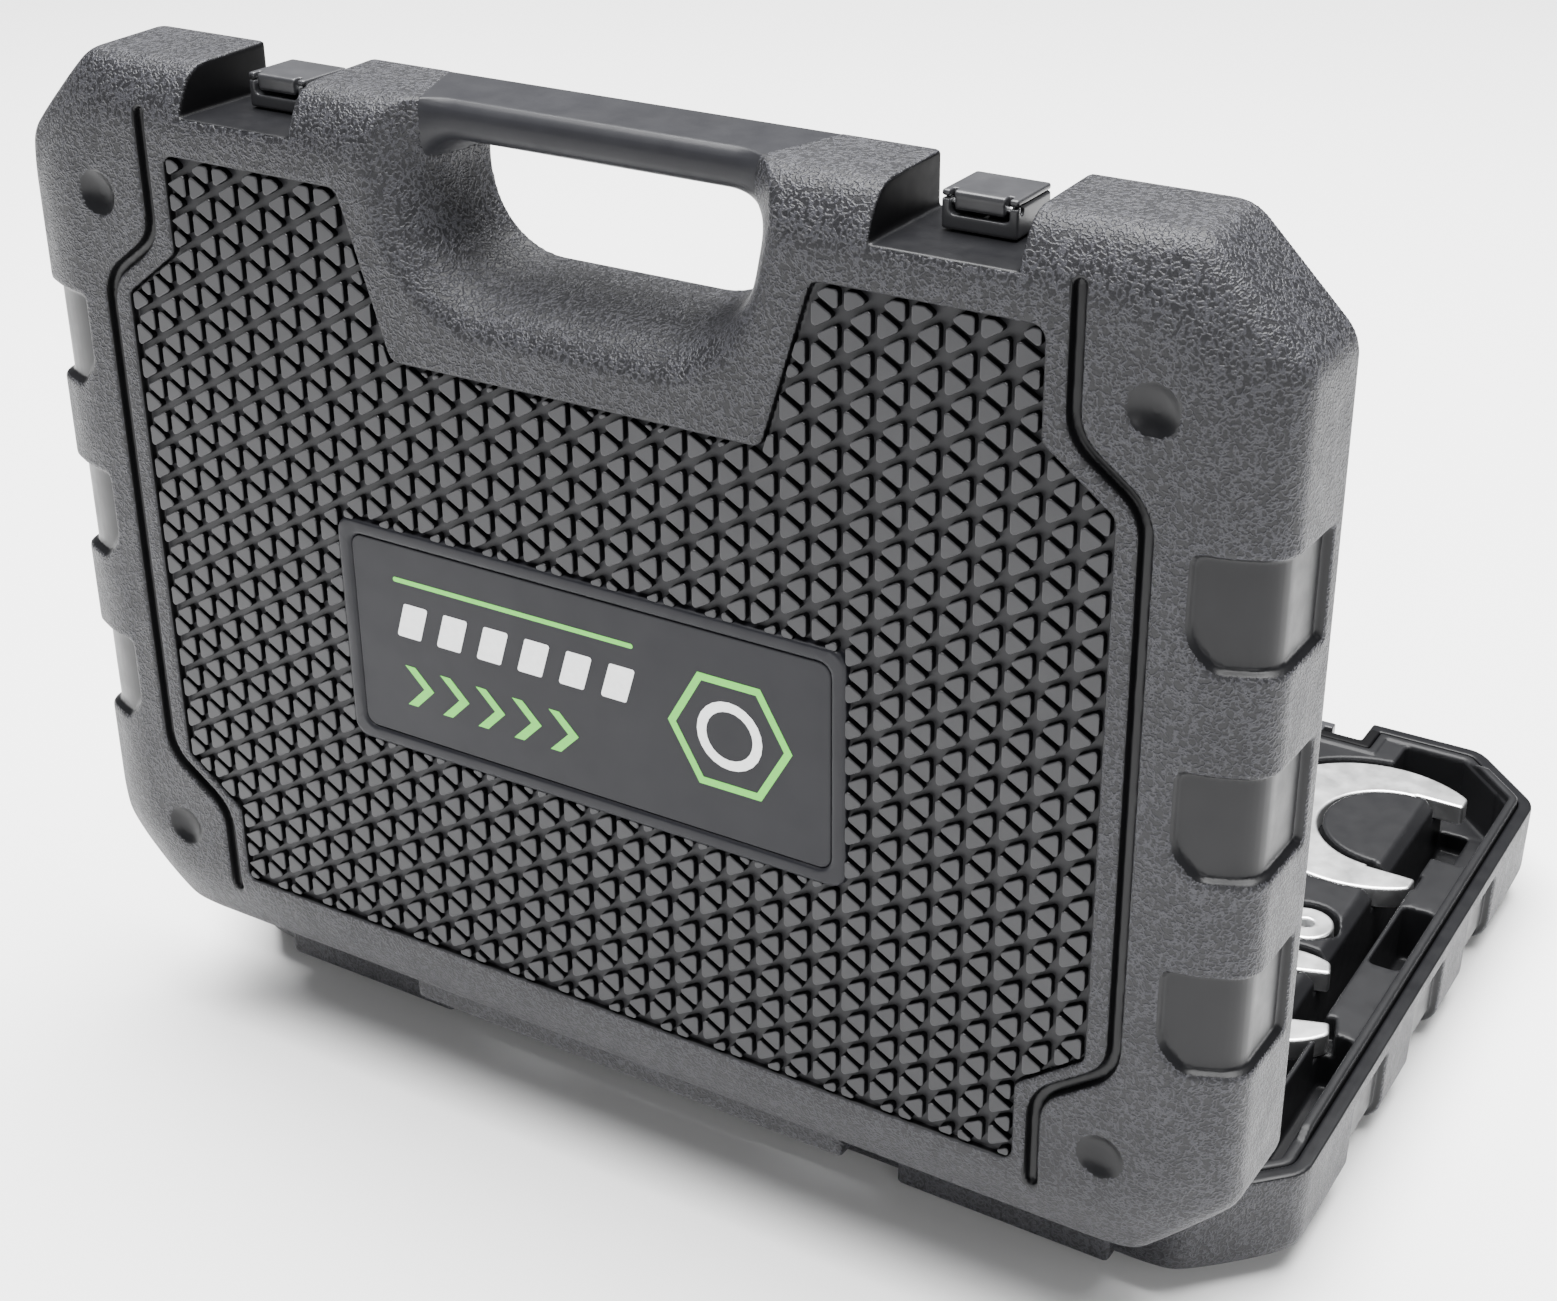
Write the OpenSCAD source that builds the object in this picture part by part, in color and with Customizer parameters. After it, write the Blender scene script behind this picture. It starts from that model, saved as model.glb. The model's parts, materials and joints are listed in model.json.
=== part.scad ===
// Hard tool case, drawn open: the base lies on its back and the lid stands square on its hinge.
// Each half is drawn flat, with the parting plane at z = 0 and its outer face at z = half_d,
// then laid in place as the base or raised as the lid. The front, with the handle, is at +Y.
// The origin is the middle of the face that the base rests on.

/* [Case] */
// Width of the case over its sides
case_w = 402; // [380:1:430]
// Length of the case from the hinge wall to the front wall
case_l = 292; // [280:1:310]
// Depth of one half
half_d = 38; // [36:0.5:42]
// Size of the cut across each corner
corner_cut = 28; // [22:1:34]
// Rounding of the corners of the outline
corner_r = 12; // [6:1:16]
// How far the walls lean in over their height
draft = 0.9; // [0.4:0.1:1.4]
// Gap left between the two rims when the case is shut
seam = 0.3; // [0.2:0.1:0.6]

/* [Bevels] */
// Depth of the bevel round the outer face
bevel_d = 7.2; // [5:0.2:8.4]
// Width of the bevel at the two sides
bevel_side_w = 17; // [12:0.5:19]
// Width of the bevel at the front
bevel_front_w = 13.5; // [10:0.5:16]
// Width of the bevel at the hinge
bevel_hinge_w = 19.5; // [14:0.5:22]
// Width of the bevel on the corner cuts
bevel_corner_w = 16; // [12:0.5:18]

/* [Walls] */
// Width of the flat rim
rim_w = 5; // [4.6:0.1:5.6]
// Wall of the outer face
face_wall = 3.8; // [3.4:0.1:4.4]
// Wall under the bevel
bevel_wall = 4.6; // [4.2:0.1:5.2]
// Wall of the inner skins
skin = 2.2; // [1.8:0.1:2.6]
// Play between an inner skin and the shell round it
skin_play = 0.3; // [0.15:0.05:0.5]
// Width of the raised lip along the tray's sides
lip_w = 3.3; // [2.8:0.1:3.8]
// Height of the lip over the rim
lip_h = 2.4; // [1.6:0.1:3]
// Depth of the skirt of an inner skin
skirt_d = 17; // [12:1:18]

/* [Outer face] */
// Depth of the field that holds the ribbed pattern
field_d = 2.2; // [1:0.1:2.4]
// Distance between the upright channels of the pattern
cell_w = 27.84; // [24:0.04:32]
// Distance between crossings along an upright channel
cell_h = 32.4; // [28:0.1:36]
// Width of the pattern's channels
channel_w = 2.1; // [1.6:0.1:3]
// How far the pattern's tops lie under the face
top_drop = 0.2; // [0.1:0.05:0.5]
// Width of the S-shaped grooves
groove_w = 4.4; // [3:0.2:5.6]
// Depth of the S-shaped grooves
groove_d = 1.8; // [1.2:0.1:2.2]
// Width of the round dimples
dimple_w = 13; // [10:0.5:16]
// Depth of the round dimples
dimple_d = 1.7; // [1:0.1:2.2]
// Length of each finger grip in the sides
grip_l = 31; // [24:1:36]
// Distance from grip to grip
grip_pitch = 58; // [52:1:62]
// Depth of the finger grips
grip_d = 2.5; // [1.5:0.1:2.8]
// Rim left standing below the grips
grip_rim = 5.5; // [4:0.5:8]
// How far a grip reaches in from the side
grip_reach = 24; // [20:1:26]
// Number of finger grips on each side
grip_count = 3; // [1:1:3]

/* [Label] */
// Width of the label frame
label_w = 171; // [150:1:190]
// Height of the label frame
label_h = 72.5; // [60:0.5:80]
// Width of the frame's raised edge
label_edge = 4.5; // [3:0.5:6]
// Thickness of the label panel
label_t = 1; // [0.8:0.1:1.4]
// Depth of the seat that holds the label panel
label_seat = 1.5; // [1.4:0.1:1.8]

/* [Handle] */
// Width of the finger gap at the handle
gap_top_w = 114; // [100:1:118]
// Width of the finger gap at its closed end
gap_end_w = 94; // [80:1:98]
// Reach of the finger gap from the front wall
gap_reach = 49.4; // [44:0.2:54]
// Rounding of the finger gap's closed corners
gap_r = 18; // [10:1:24]
// Height of the handle bar
bar_h = 12; // [10:0.5:14]
// Thickness of the handle bar in one half
bar_t = 25; // [20:0.5:28]
// Rounding of the bar's outer edge
bar_r = 9; // [5:0.5:10]
// Play between the bar and the walls of the finger gap
bar_play = 0.1; // [0.05:0.05:0.3]
// How far the dish round the finger gap reaches out
dish_w = 11; // [6:1:14]
// Width of the dish halfway up
dish_mid_w = 3.5; // [2:0.5:5]

/* [Latches] */
// Distance of each latch from the middle
latch_x = 110.5; // [106:0.5:113]
// Width of the latch recess
recess_w = 40; // [36:0.5:41]
// Depth of the latch recess from the front wall
recess_d = 14.3; // [13.5:0.1:15]
// Chamfer along the top of the latch recess
recess_chamfer = 3; // [1:0.5:4]
// Width of the latch
latch_w = 20.5; // [18:0.5:23]
// Length of the latch
latch_l = 18.7; // [17:0.1:21]
// Travel of the latch over the keeper
latch_travel = 10; // [7:0.5:10.5]
// Thickness of the latch's cover plate
cover_t = 1.7; // [1.4:0.1:2]
// Width of the finger tab
tab_w = 13.5; // [11:0.5:14.5]
// Gap round the finger tab
tab_gap = 1.3; // [1:0.1:1.8]
// Height of the finger tab below the latch's top
tab_h = 2.9; // [2.4:0.1:4]
// Wall of the latch over its rail
slider_roof = 1.4; // [1.2:0.1:1.8]
// Wall of the latch's closed end
slider_end = 2.6; // [2:0.1:3]
// Width of the guide rail's head
rail_w = 15.2; // [13:0.2:15.4]
// Play between the latch and its rail
rail_play = 0.25; // [0.15:0.05:0.35]
// Radius of the cover's pin
cover_pin_r = 0.8; // [0.6:0.1:0.9]

/* [Hinge] */
// Distance of the hinge axis from the hinge wall
hinge_out = 1; // [0.8:0.1:1.4]
// Radius of the hinge knuckles
knuckle_r = 4.2; // [3.6:0.1:4.6]
// Radius of the hinge pins
pin_r = 1.5; // [1.2:0.1:1.8]
// Running play round the hinge pins
pin_play = 0.05; // [0.03:0.01:0.08]
// Width of the lid's hinge block
lid_block_w = 158; // [150:1:164]
// Gap between the lid's block and the base's blocks
block_gap = 6; // [4:0.5:8]
// Width of each of the base's blocks
base_block_w = 70; // [60:1:76]
// How far the blocks stand out
block_out = 6.2; // [5.4:0.1:7]
// Depth of the blocks
block_d = 28; // [22:1:30]
// Length of a knuckle
knuckle_l = 20; // [14:1:24]

/* [Tray] */
// Depth of the tray's deck under the rim
deck_z = 0.8; // [0.5:0.1:2]
// Depth of the side pockets under the rim
pocket_z = 22; // [18:1:24]
// Depth of the shallow compartment under the rim
tidy_z = 16; // [12:1:20]
// Width of the bay at each side of the deck
bay_w = 27.4; // [25:0.2:30]
// Width of each trough, chamfer included
trough_w = 14; // [12:0.5:15]
// Width of the deck's chamfer along the troughs
deck_chamfer = 3.5; // [2:0.5:5]
// Drop of the deck's chamfer along the troughs
chamfer_drop = 4; // [2:0.5:6]
// Thickness of the thin rib beside a trough
rib_t = 1.8; // [1.2:0.1:2.4]
// Gap round each wrench in its recess
tool_gap = 1.8; // [1:0.1:2.2]
// Depth of the lid's inner skin under its rim
liner_z = 9; // [7:0.5:12]
// Thickness of the liner's hold-down ribs
hold_t = 6; // [4:0.5:8]
// Clearance between the shut lid's ribs and the wrenches
hold_gap = 2.5; // [2:0.1:4]

/* [Wrenches] */
// Thickness of the wrenches
tool_t = 8; // [6:0.5:9]
// Depth of the wrenches under the rim
tool_z = 1.8; // [1:0.1:2.4]
// Jaw opening of the large wrench
large_jaw = 55; // [46:1:56]
// Head radius of the large wrench
large_head_r = 43.2; // [41:0.2:44]
// Length of the large wrench from its head to its tail hole
large_len = 290; // [250:5:296]
// Jaw opening of the medium wrench
medium_jaw = 27; // [22:1:28]
// Head radius of the medium wrench
medium_head_r = 26; // [24:0.5:27]
// Length of the medium wrench from its head to its tail hole
medium_len = 250; // [200:5:270]
// Jaw opening of the small wrench
small_jaw = 24; // [19:1:26]
// Head radius of the small wrench
small_head_r = 24; // [22:0.5:25]
// Length of the small wrench from its head to its tail hole
small_len = 294; // [280:2:296]

/* [Hidden] */
$fn = 48;
eps = 0.05;
big = 1000;
dish_z = bar_t - 4;
hw = case_w / 2;
hl = case_l / 2;
hinge_y = -hl - hinge_out;
rim_z = seam / 2;
floor_z = half_d - face_wall;

// where the S-shaped groove, the pattern field and the dimples stand from the edges
groove_side = 35;
groove_end = 55;
field_side = 43;
field_end = 63;
field_front = 26;
field_hinge = 25;
step_front = 55;
step_hinge = 51;
step_run = 15;
field_gap_w = 150;
field_gap_end_w = 120;
field_gap_reach = 73;
field_r = 3.5;
dimple_side = 35;
dimple_front = 41;
dimple_hinge = 37;
label_y = -15.2;
label_r = 5;
grip_shift = -1.5;
crossing_y = 9.3;
upright_lines = floor((hw - field_side) / cell_w);
leaning_lines = 7;

// the latch, measured out from the recess floor
recess_floor = hl - recess_d;
rail_stem_w = 9.2;
rail_lip = 2.6;
rail_head = 4;
slider_base = 0.5;
channel_top = rail_lip + rail_head + 2 * rail_play;
slider_top = channel_top + slider_roof;
tab_depth = slider_end + 1;
guide_gap = 0.8;
guide_l = latch_l - tab_depth - latch_travel - guide_gap;
cover_y = slider_top + 0.15;
cover_pin_z = latch_l - 2.4;
cover_pin_y = slider_top - cover_pin_r - 0.5;
relief_z = cover_pin_z + 0.5;
relief_d = 0.4;
keeper_l = latch_travel + 1;
keeper_stop = 3;

// the hinge, measured across the case
lid_block_x = lid_block_w / 2;
base_block_x = lid_block_x + block_gap;
knuckle_play = 0.3;
pin_inset = 1;
pin_x0 = lid_block_x - knuckle_l + pin_inset;
pin_x1 = base_block_x + knuckle_l - pin_inset;
stop_gap = 0.2;
stop_w = lid_block_w - 2 * knuckle_l - 18;

// the tray: inside of the rim and the places of the side pockets
inner_x = hw - rim_w - skin_play - lip_w;
deck_x = inner_x - bay_w;
trough_x = deck_x + trough_w;
trough_end = -hl + 27;
step_a = hl - 81;
step_b = hl - 115;
step_c = -7;
step_d = -50;
pocket_rim = 0.8;
corner_x = deck_x - 18;
corner_y = hl - 27;
lip_end = -hl + 41;
lip_top = hl - 11;
tool_floor = tool_z + tool_t;
tidy_w = 240;
tidy_y0 = -hl + 20;
tidy_y1 = -hl + 72;
tidy_r = 8;
spacer_r = 7;
spacer_x = 130;
spacer_hinge = 46;
spacer_front = 76;
hold_pitch = 80;
hold_hinge = 30;
hold_front = 72;

// the wrenches: place of the head, reach of the prongs, throat, handle and tail
large_x = deck_x - 13;
large_y = hl - 68.3;
large_tip = 26.5;
large_throat = 9;
large_grip_w = 31;
large_tail_r = 13.5;
large_run = 184;
large_hole_r = 5;
medium_x = deck_x - 4.4;
medium_y = -36.3;
medium_tip = 17;
medium_throat = 5;
medium_grip_w = 20;
medium_tail_r = 9;
medium_turn = 19;
medium_hole_r = 3.5;
small_x = deck_x - 10;
small_y = 5.8;
small_tip = 16;
small_throat = 4;
small_grip_w = 18;
small_tail_r = 9.4;
small_turn = 165;
small_hole_r = 2.6;

function unit(v) = v / norm(v);

// points of one rounded corner of an outline, from the side towards a to the side towards c
function corner_arc(a, b, c, r, steps) =
    let (u = unit(a - b), v = unit(c - b), half = acos(u * v) / 2)
    let (mid = b + unit(u + v) * r / sin(half), p = b + u * r / tan(half) - mid)
    let (q = b + v * r / tan(half) - mid, turn = p.x * q.y - p.y * q.x > 0 ? 1 : -1)
    [for (i = [0 : steps]) let (t = turn * i / steps * (180 - 2 * half))
        mid + [p.x * cos(t) - p.y * sin(t), p.x * sin(t) + p.y * cos(t)]];

// an outline with every corner rounded to r
function rounded(points, r, steps = 4) =
    let (n = len(points))
    [for (i = [0 : n - 1])
        each corner_arc(points[(i + n - 1) % n], points[i], points[(i + 1) % n], r, steps)];

function mirrored(points) = [for (i = [len(points) - 1 : -1 : 0]) [-points[i].x, points[i].y]];

// outline of a half, drawn in from the walls by inset
function outline(inset) =
    let (x = hw - inset, y = hl - inset, cut = corner_cut - inset * (2 - sqrt(2)))
    let (right = [[x, -y + cut], [x, y - cut], [x - cut, y]])
    rounded(concat([[x - cut, -y]], right, mirrored(right), [[-x + cut, -y]]), corner_r);

// one side of a wall's section: up the wall, in over the bevel, to the outer face
function wall_points(reach, bevel_w, side, top, over) =
    let (run = bevel_w - draft, len = norm([run, bevel_d]), s = bevel_d / len, c = run / len)
    let (x = reach - draft - side, z = half_d - bevel_d - (over - side * s) / c)
    [[reach - side, 0], [x, z], [reach - draft - (over + (bevel_d - top) * c) / s, half_d - top]];

function section(reach_a, w_a, reach_b, w_b, side, top, over) =
    concat(wall_points(reach_a, w_a, side, top, over), mirrored(wall_points(reach_b, w_b, side, top, over)));

// solid form of a half, drawn in at the side, at the outer face and over the bevel
module half_form(side = 0, top = 0, over = 0) {
    reach_cut = (hw + hl - corner_cut) / sqrt(2);
    intersection() {
        linear_extrude(half_d - top) polygon(outline(side));
        rotate([90, 0, 0]) linear_extrude(big, center = true)
            polygon(section(hw, bevel_side_w, hw, bevel_side_w, side, top, over));
        rotate([90, 0, 90]) linear_extrude(big, center = true)
            polygon(section(hl, bevel_front_w, hl, bevel_hinge_w, side, top, over));
        for (turn = [-45, 45])
            rotate([90, 0, turn]) linear_extrude(big, center = true)
                polygon(section(reach_cut, bevel_corner_w, reach_cut, bevel_corner_w, side, top, over));
    }
}

module both_sides() {
    children();
    mirror([1, 0, 0]) children();
}

module box(x0, x1, y0, y1, z0, z1) {
    translate([x0, y0, z0]) cube([x1 - x0, y1 - y0, z1 - z0]);
}

// lays a flat-drawn half down as the base
module on_base() {
    translate([0, 0, half_d]) mirror([0, 0, 1]) children();
}

// raises a flat-drawn half as the open lid
module on_lid() {
    translate([0, hinge_y, half_d]) rotate([90, 0, 0]) translate([0, -hinge_y, 0]) children();
}

// outline of the handle's finger gap, run out past the front wall and wider by grow
function gap_outline(grow) =
    let (over = 20, lean = (gap_top_w - gap_end_w) / 2 / gap_reach)
    let (top = [gap_top_w / 2 + lean * over + grow, hl + over])
    let (end = [gap_end_w / 2 + grow, hl - gap_reach - grow], far = [-end.x, end.y])
    concat([top], corner_arc(top, end, far, gap_r + grow, 8), corner_arc(end, far, [-top.x, top.y], gap_r + grow, 8),
        [[-top.x, top.y]]);

module finger_gap(grow, z0, z1) {
    translate([0, 0, z0]) linear_extrude(z1 - z0) polygon(gap_outline(grow));
}

module flare(z0, grow0, z1, grow1) {
    hull() {
        finger_gap(grow0, z0, z0 + eps);
        finger_gap(grow1, z1 - eps, z1);
    }
}

// soft dish that opens the finger gap towards the outer face
module dish() {
    z_mid = (dish_z + half_d) / 2 + 1;
    flare(dish_z, 0, z_mid, dish_mid_w);
    flare(z_mid - eps, dish_mid_w, half_d + eps, dish_w);
}

// recess of the latches, cut through a half from its rim, wider by grow
module latch_recess(grow) {
    x0 = latch_x - recess_w / 2 - grow;
    x1 = latch_x + recess_w / 2 + grow;
    y0 = recess_floor - grow;
    y1 = hl - recess_chamfer;
    run = recess_chamfer + 20;
    both_sides() translate([0, 0, -eps]) linear_extrude(big)
        polygon([[x0, y0], [x1, y0], [x1, y1], [x1 + run, y1 + run], [x0 - run, y1 + run], [x0, y1]]);
}

// sunk field round the label, stepped at its corners and cut back round the handle
module pattern_field() {
    right = [[hw - field_end, -hl + field_hinge], [hw - field_end, -hl + step_hinge],
        [hw - field_side, -hl + step_hinge + step_run], [hw - field_side, hl - step_front - step_run],
        [hw - field_end, hl - step_front], [hw - field_end, hl - field_front],
        [field_gap_w / 2, hl - field_front], [field_gap_end_w / 2, hl - field_gap_reach]];
    difference() {
        polygon(rounded(concat(right, mirrored(right)), field_r, 3));
        translate([0, label_y]) rounded_plate(label_w, label_h, label_r);
    }
}

module rounded_plate(w, h, r) {
    polygon(rounded([[w / 2, -h / 2], [w / 2, h / 2], [-w / 2, h / 2], [-w / 2, -h / 2]], r));
}

// a groove of constant width along a line of points
module groove(points) {
    for (i = [0 : len(points) - 2]) {
        run = points[i + 1] - points[i];
        translate([points[i].x, points[i].y, 0]) rotate([0, 0, atan2(run.y, run.x)])
            translate([0, -groove_w / 2, 0]) cube([norm(run), groove_w, big]);
    }
    for (p = points) translate([p.x, p.y, 0]) cylinder(h = big, d = groove_w);
}

module channel(x, y, turn) {
    translate([x, y, half_d]) rotate([0, 0, turn]) cube([big, channel_w, 2 * field_d], center = true);
}

// channels between raised triangles, every third line of the real pattern
module channels() {
    lean = atan2(cell_h / 2, cell_w);
    for (i = [-upright_lines : upright_lines]) channel(i * cell_w, 0, 90);
    for (i = [-leaning_lines : leaning_lines], turn = [-lean, lean])
        channel(0, crossing_y + i * cell_h, turn);
}

module outer_marks() {
    dimple_ball = (dimple_w * dimple_w / 4 + dimple_d * dimple_d) / (2 * dimple_d);
    translate([0, 0, half_d - top_drop]) linear_extrude(big) pattern_field();
    intersection() {
        translate([0, 0, half_d - field_d]) linear_extrude(big) pattern_field();
        channels();
    }
    both_sides() {
        translate([0, 0, half_d - groove_d])
            groove([[hw - groove_end, hl - 15], [hw - groove_end, hl - 52], [hw - groove_side, hl - 67],
                [hw - groove_side, -hl + 65], [hw - groove_end - 2, -hl + 49], [hw - groove_end - 2, -hl + 20]]);
        for (p = [[hw - dimple_side, hl - dimple_front], [hw - dimple_side - 2, -hl + dimple_hinge]])
            translate([p.x, p.y, half_d - dimple_d + dimple_ball]) sphere(dimple_ball);
    }
}

// finger grips sunk into both sides and over the bevel
module side_grips() {
    difference() {
        both_sides() for (i = [0 : grip_count - 1]) {
            y = grip_shift + (i - (grip_count - 1) / 2) * grip_pitch;
            box(hw - grip_reach, hw + big, y - grip_l / 2, y + grip_l / 2, grip_rim, big);
        }
        half_form(grip_d, grip_d, grip_d);
    }
}

module cavity() {
    difference() {
        half_form(rim_w, face_wall, bevel_wall);
        latch_recess(bevel_wall);
        finger_gap(rim_w, -eps, dish_z);
        finger_gap(dish_w + rim_w, skirt_d + skin_play, big);
    }
}

// shell of a half, before its hinge
module shell_form() {
    difference() {
        half_form();
        cavity();
        latch_recess(0);
        finger_gap(0, -eps, half_d + eps);
        dish();
        outer_marks();
        side_grips();
        translate([0, 0, rim_z - big]) linear_extrude(big) square(big, center = true);
    }
}

module hinge_block(x0, x1) {
    box(x0, x1, -hl - block_out, -hl + eps, rim_z, block_d);
}

module axis_rod(x0, x1, r) {
    translate([x0, hinge_y, 0]) rotate([0, 90, 0]) cylinder(h = x1 - x0, r = r);
}

// hole for a hinge pin, through the knuckles of both halves and between them
module pin_hole() {
    axis_rod(lid_block_x - knuckle_l - eps, base_block_x + knuckle_l + eps, pin_r + pin_play);
}

module base_shell() color([0.25, 0.25, 0.27]) on_base() {
    x0 = base_block_x;
    difference() {
        union() {
            shell_form();
            both_sides() {
                hinge_block(x0, x0 + base_block_w);
                axis_rod(x0, x0 + knuckle_l, knuckle_r);
            }
            // rib that the open lid leans on
            box(-stop_w / 2, stop_w / 2, hinge_y - rim_z + stop_gap, -hl + eps, rim_z, knuckle_r);
        }
        both_sides() {
            pin_hole();
            axis_rod(lid_block_x - knuckle_l - knuckle_play, lid_block_x + knuckle_play, knuckle_r + knuckle_play);
        }
    }
}

module lid_shell() color([0.25, 0.25, 0.27]) on_lid() {
    x1 = lid_block_x;
    difference() {
        union() {
            shell_form();
            hinge_block(-x1, x1);
            both_sides() axis_rod(x1 - knuckle_l, x1, knuckle_r);
        }
        both_sides() {
            pin_hole();
            axis_rod(base_block_x - knuckle_play, base_block_x + knuckle_l + knuckle_play, knuckle_r + knuckle_play);
        }
        translate([0, label_y, half_d - label_seat]) linear_extrude(big)
            rounded_plate(label_w - 2 * label_edge, label_h - 2 * label_edge, label_r - 1);
    }
}

module label_panel() color([0.3, 0.3, 0.32]) on_lid()
    translate([0, label_y, half_d - label_seat]) linear_extrude(label_t)
        rounded_plate(label_w - 2 * label_edge - 0.4, label_h - 2 * label_edge - 0.4, label_r - 1.2);

// bar of the handle, one half of its thickness
module bar() {
    y0 = hl - bar_h;
    section = concat([[y0, rim_z], [hl, rim_z]], corner_arc([hl, rim_z], [hl, bar_t], [y0, bar_t], bar_r, 6),
        corner_arc([hl, bar_t], [y0, bar_t], [y0, rim_z], 3, 4));
    intersection() {
        rotate([90, 0, 90]) linear_extrude(big, center = true) polygon(section);
        finger_gap(-bar_play, 0, half_d);
    }
}

module base_handle() color([0.28, 0.28, 0.3]) on_base() bar();

module lid_handle() color([0.28, 0.28, 0.3]) on_lid() bar();

// plan of an inner skin, clear of the latch recesses and the finger gap
module skin_plan(inset) {
    grow = bevel_wall + inset - rim_w;
    difference() {
        polygon(outline(inset));
        both_sides() translate([latch_x - recess_w / 2 - grow, recess_floor - grow])
            square([recess_w + 2 * grow, big]);
        polygon(gap_outline(inset));
    }
}

module skirt(z0, z1) {
    translate([0, 0, z0]) linear_extrude(z1 - z0) difference() {
        skin_plan(rim_w + skin_play);
        skin_plan(rim_w + skin_play + lip_w);
    }
}

// room that the shell's walls leave for an inner skin
module skin_room() {
    half_form(rim_w + skin_play, face_wall, bevel_wall + skin_play);
}

module skin_block(z0, z1) {
    translate([0, 0, z0]) linear_extrude(z1 - z0) skin_plan(rim_w + skin_play + lip_w - eps);
}

// a wrench about the middle of its head: the jaw opens along turn, the handle runs along run
module wrench_form(jaw, head_r, throat, tip, grip_w, tail_r, len, turn, run, z0, z1, grow) {
    root = (head_r + jaw / 2 - throat) / 2;
    translate([0, 0, z0]) difference() {
        union() {
            cylinder(h = z1 - z0, r = head_r + grow, $fn = 72);
            rotate([0, 0, run]) linear_extrude(z1 - z0) polygon([[root, -grip_w / 2 - grow],
                [len, 1 - tail_r - grow], [len, tail_r - 1 + grow], [root, grip_w / 2 + grow]]);
            rotate([0, 0, run]) translate([len, 0, 0]) cylinder(h = z1 - z0, r = tail_r + grow);
        }
        rotate([0, 0, turn]) {
            translate([throat, 0, -eps]) cylinder(h = big, r = jaw / 2 - 1 - grow);
            translate([throat, grow - jaw / 2, -eps]) cube([big, jaw - 2 * grow, big]);
            translate([tip + grow, -big / 2, -eps]) cube([big, big, big]);
        }
    }
}

module large_form(z0, z1, grow) {
    translate([large_x, large_y, 0]) wrench_form(large_jaw, large_head_r, large_throat, large_tip,
        large_grip_w, large_tail_r, large_len, 0, large_run, z0, z1, grow);
}

module medium_form(z0, z1, grow) {
    translate([medium_x, medium_y, 0]) wrench_form(medium_jaw, medium_head_r, medium_throat, medium_tip,
        medium_grip_w, medium_tail_r, medium_len, medium_turn, 180, z0, z1, grow);
}

module small_form(z0, z1, grow) {
    translate([small_x - small_len, small_y, 0]) wrench_form(small_jaw, small_head_r, small_throat,
        small_tip, small_grip_w, small_tail_r, small_len, small_turn, 0, z0, z1, grow);
}

module hang_hole(x, y, r) {
    translate([x, y, 0]) cylinder(h = big, r = r);
}

module wrench_large() color([0.82, 0.83, 0.85]) on_base() difference() {
    large_form(tool_z, tool_floor, 0);
    hang_hole(large_x + large_len * cos(large_run), large_y + large_len * sin(large_run), large_hole_r);
}

module wrench_medium() color([0.82, 0.83, 0.85]) on_base() difference() {
    medium_form(tool_z, tool_floor, 0);
    hang_hole(medium_x - medium_len, medium_y, medium_hole_r);
}

module wrench_small() color([0.82, 0.83, 0.85]) on_base() difference() {
    small_form(tool_z, tool_floor, 0);
    hang_hole(small_x, small_y, small_hole_r);
}

module tool_recesses(z0, z1, grow) {
    large_form(z0, z1, grow);
    medium_form(z0, z1, grow);
    small_form(z0, z1, grow);
}

// section of a side trough: chamfered along the deck, straight along the wall
module trough(y0, y1, grow, z1) {
    x0 = deck_x - grow;
    x1 = trough_x + grow;
    translate([0, y1 + grow, 0]) rotate([90, 0, 0]) linear_extrude(y1 - y0 + 2 * grow)
        polygon([[x0, deck_z - eps], [x0 + deck_chamfer, deck_z + chamfer_drop], [x0 + deck_chamfer, z1],
            [x1, z1], [x1, deck_z - eps]]);
}

module side_pockets(grow) {
    z0 = deck_z - eps;
    x0 = trough_x + rib_t - grow;
    x1 = inner_x - pocket_rim + grow;
    both_sides() {
        trough(trough_end, corner_y - 1, grow, floor_z - (grow > 0 ? 0 : skin));
        box(trough_x - 1 - grow, x1, step_a - grow, corner_y + grow, z0, pocket_z + grow);
        intersection() {
            box(corner_x - grow, hw, corner_y - 2 - grow, hl, z0, pocket_z + grow);
            translate([0, 0, -eps]) linear_extrude(big)
                skin_plan(rim_w + skin_play + lip_w + pocket_rim - grow);
        }
        box(x0, x1, step_c - grow, step_b + grow, z0, pocket_z + grow);
        box(x0, x1, trough_end - grow, step_d + grow, z0, pocket_z + grow);
    }
}

module tidy_pocket(grow) {
    translate([0, (tidy_y0 + tidy_y1) / 2, deck_z - eps]) linear_extrude(tidy_z - deck_z + grow + eps)
        rounded_plate(tidy_w + 2 * grow, tidy_y1 - tidy_y0 + 2 * grow, tidy_r + grow);
}

// raised lip along the sides of the tray and round its front corners
module lip() {
    intersection() {
        skirt(-lip_h, deck_z);
        rotate([90, 0, 90]) linear_extrude(big, center = true) polygon([[lip_end, deck_z],
            [lip_end + 2 * lip_h, -lip_h], [lip_top - 2 * lip_h, -lip_h], [lip_top, deck_z]]);
        both_sides() box(corner_x, hw, -hl, hl, -big / 2, big / 2);
    }
}

module base_tray() color([0.14, 0.14, 0.15]) on_base() {
    difference() {
        union() {
            intersection() {
                skirt(rim_z, skirt_d);
                skin_room();
            }
            lip();
            skin_block(deck_z, deck_z + skin);
            intersection() {
                union() {
                    side_pockets(skin);
                    tidy_pocket(skin);
                    tool_recesses(deck_z, tool_floor + skin, tool_gap + skin);
                }
                skin_block(deck_z, floor_z);
                skin_room();
            }
        }
        side_pockets(0);
        tidy_pocket(0);
        tool_recesses(deck_z - eps, tool_floor, tool_gap);
    }
}

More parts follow.
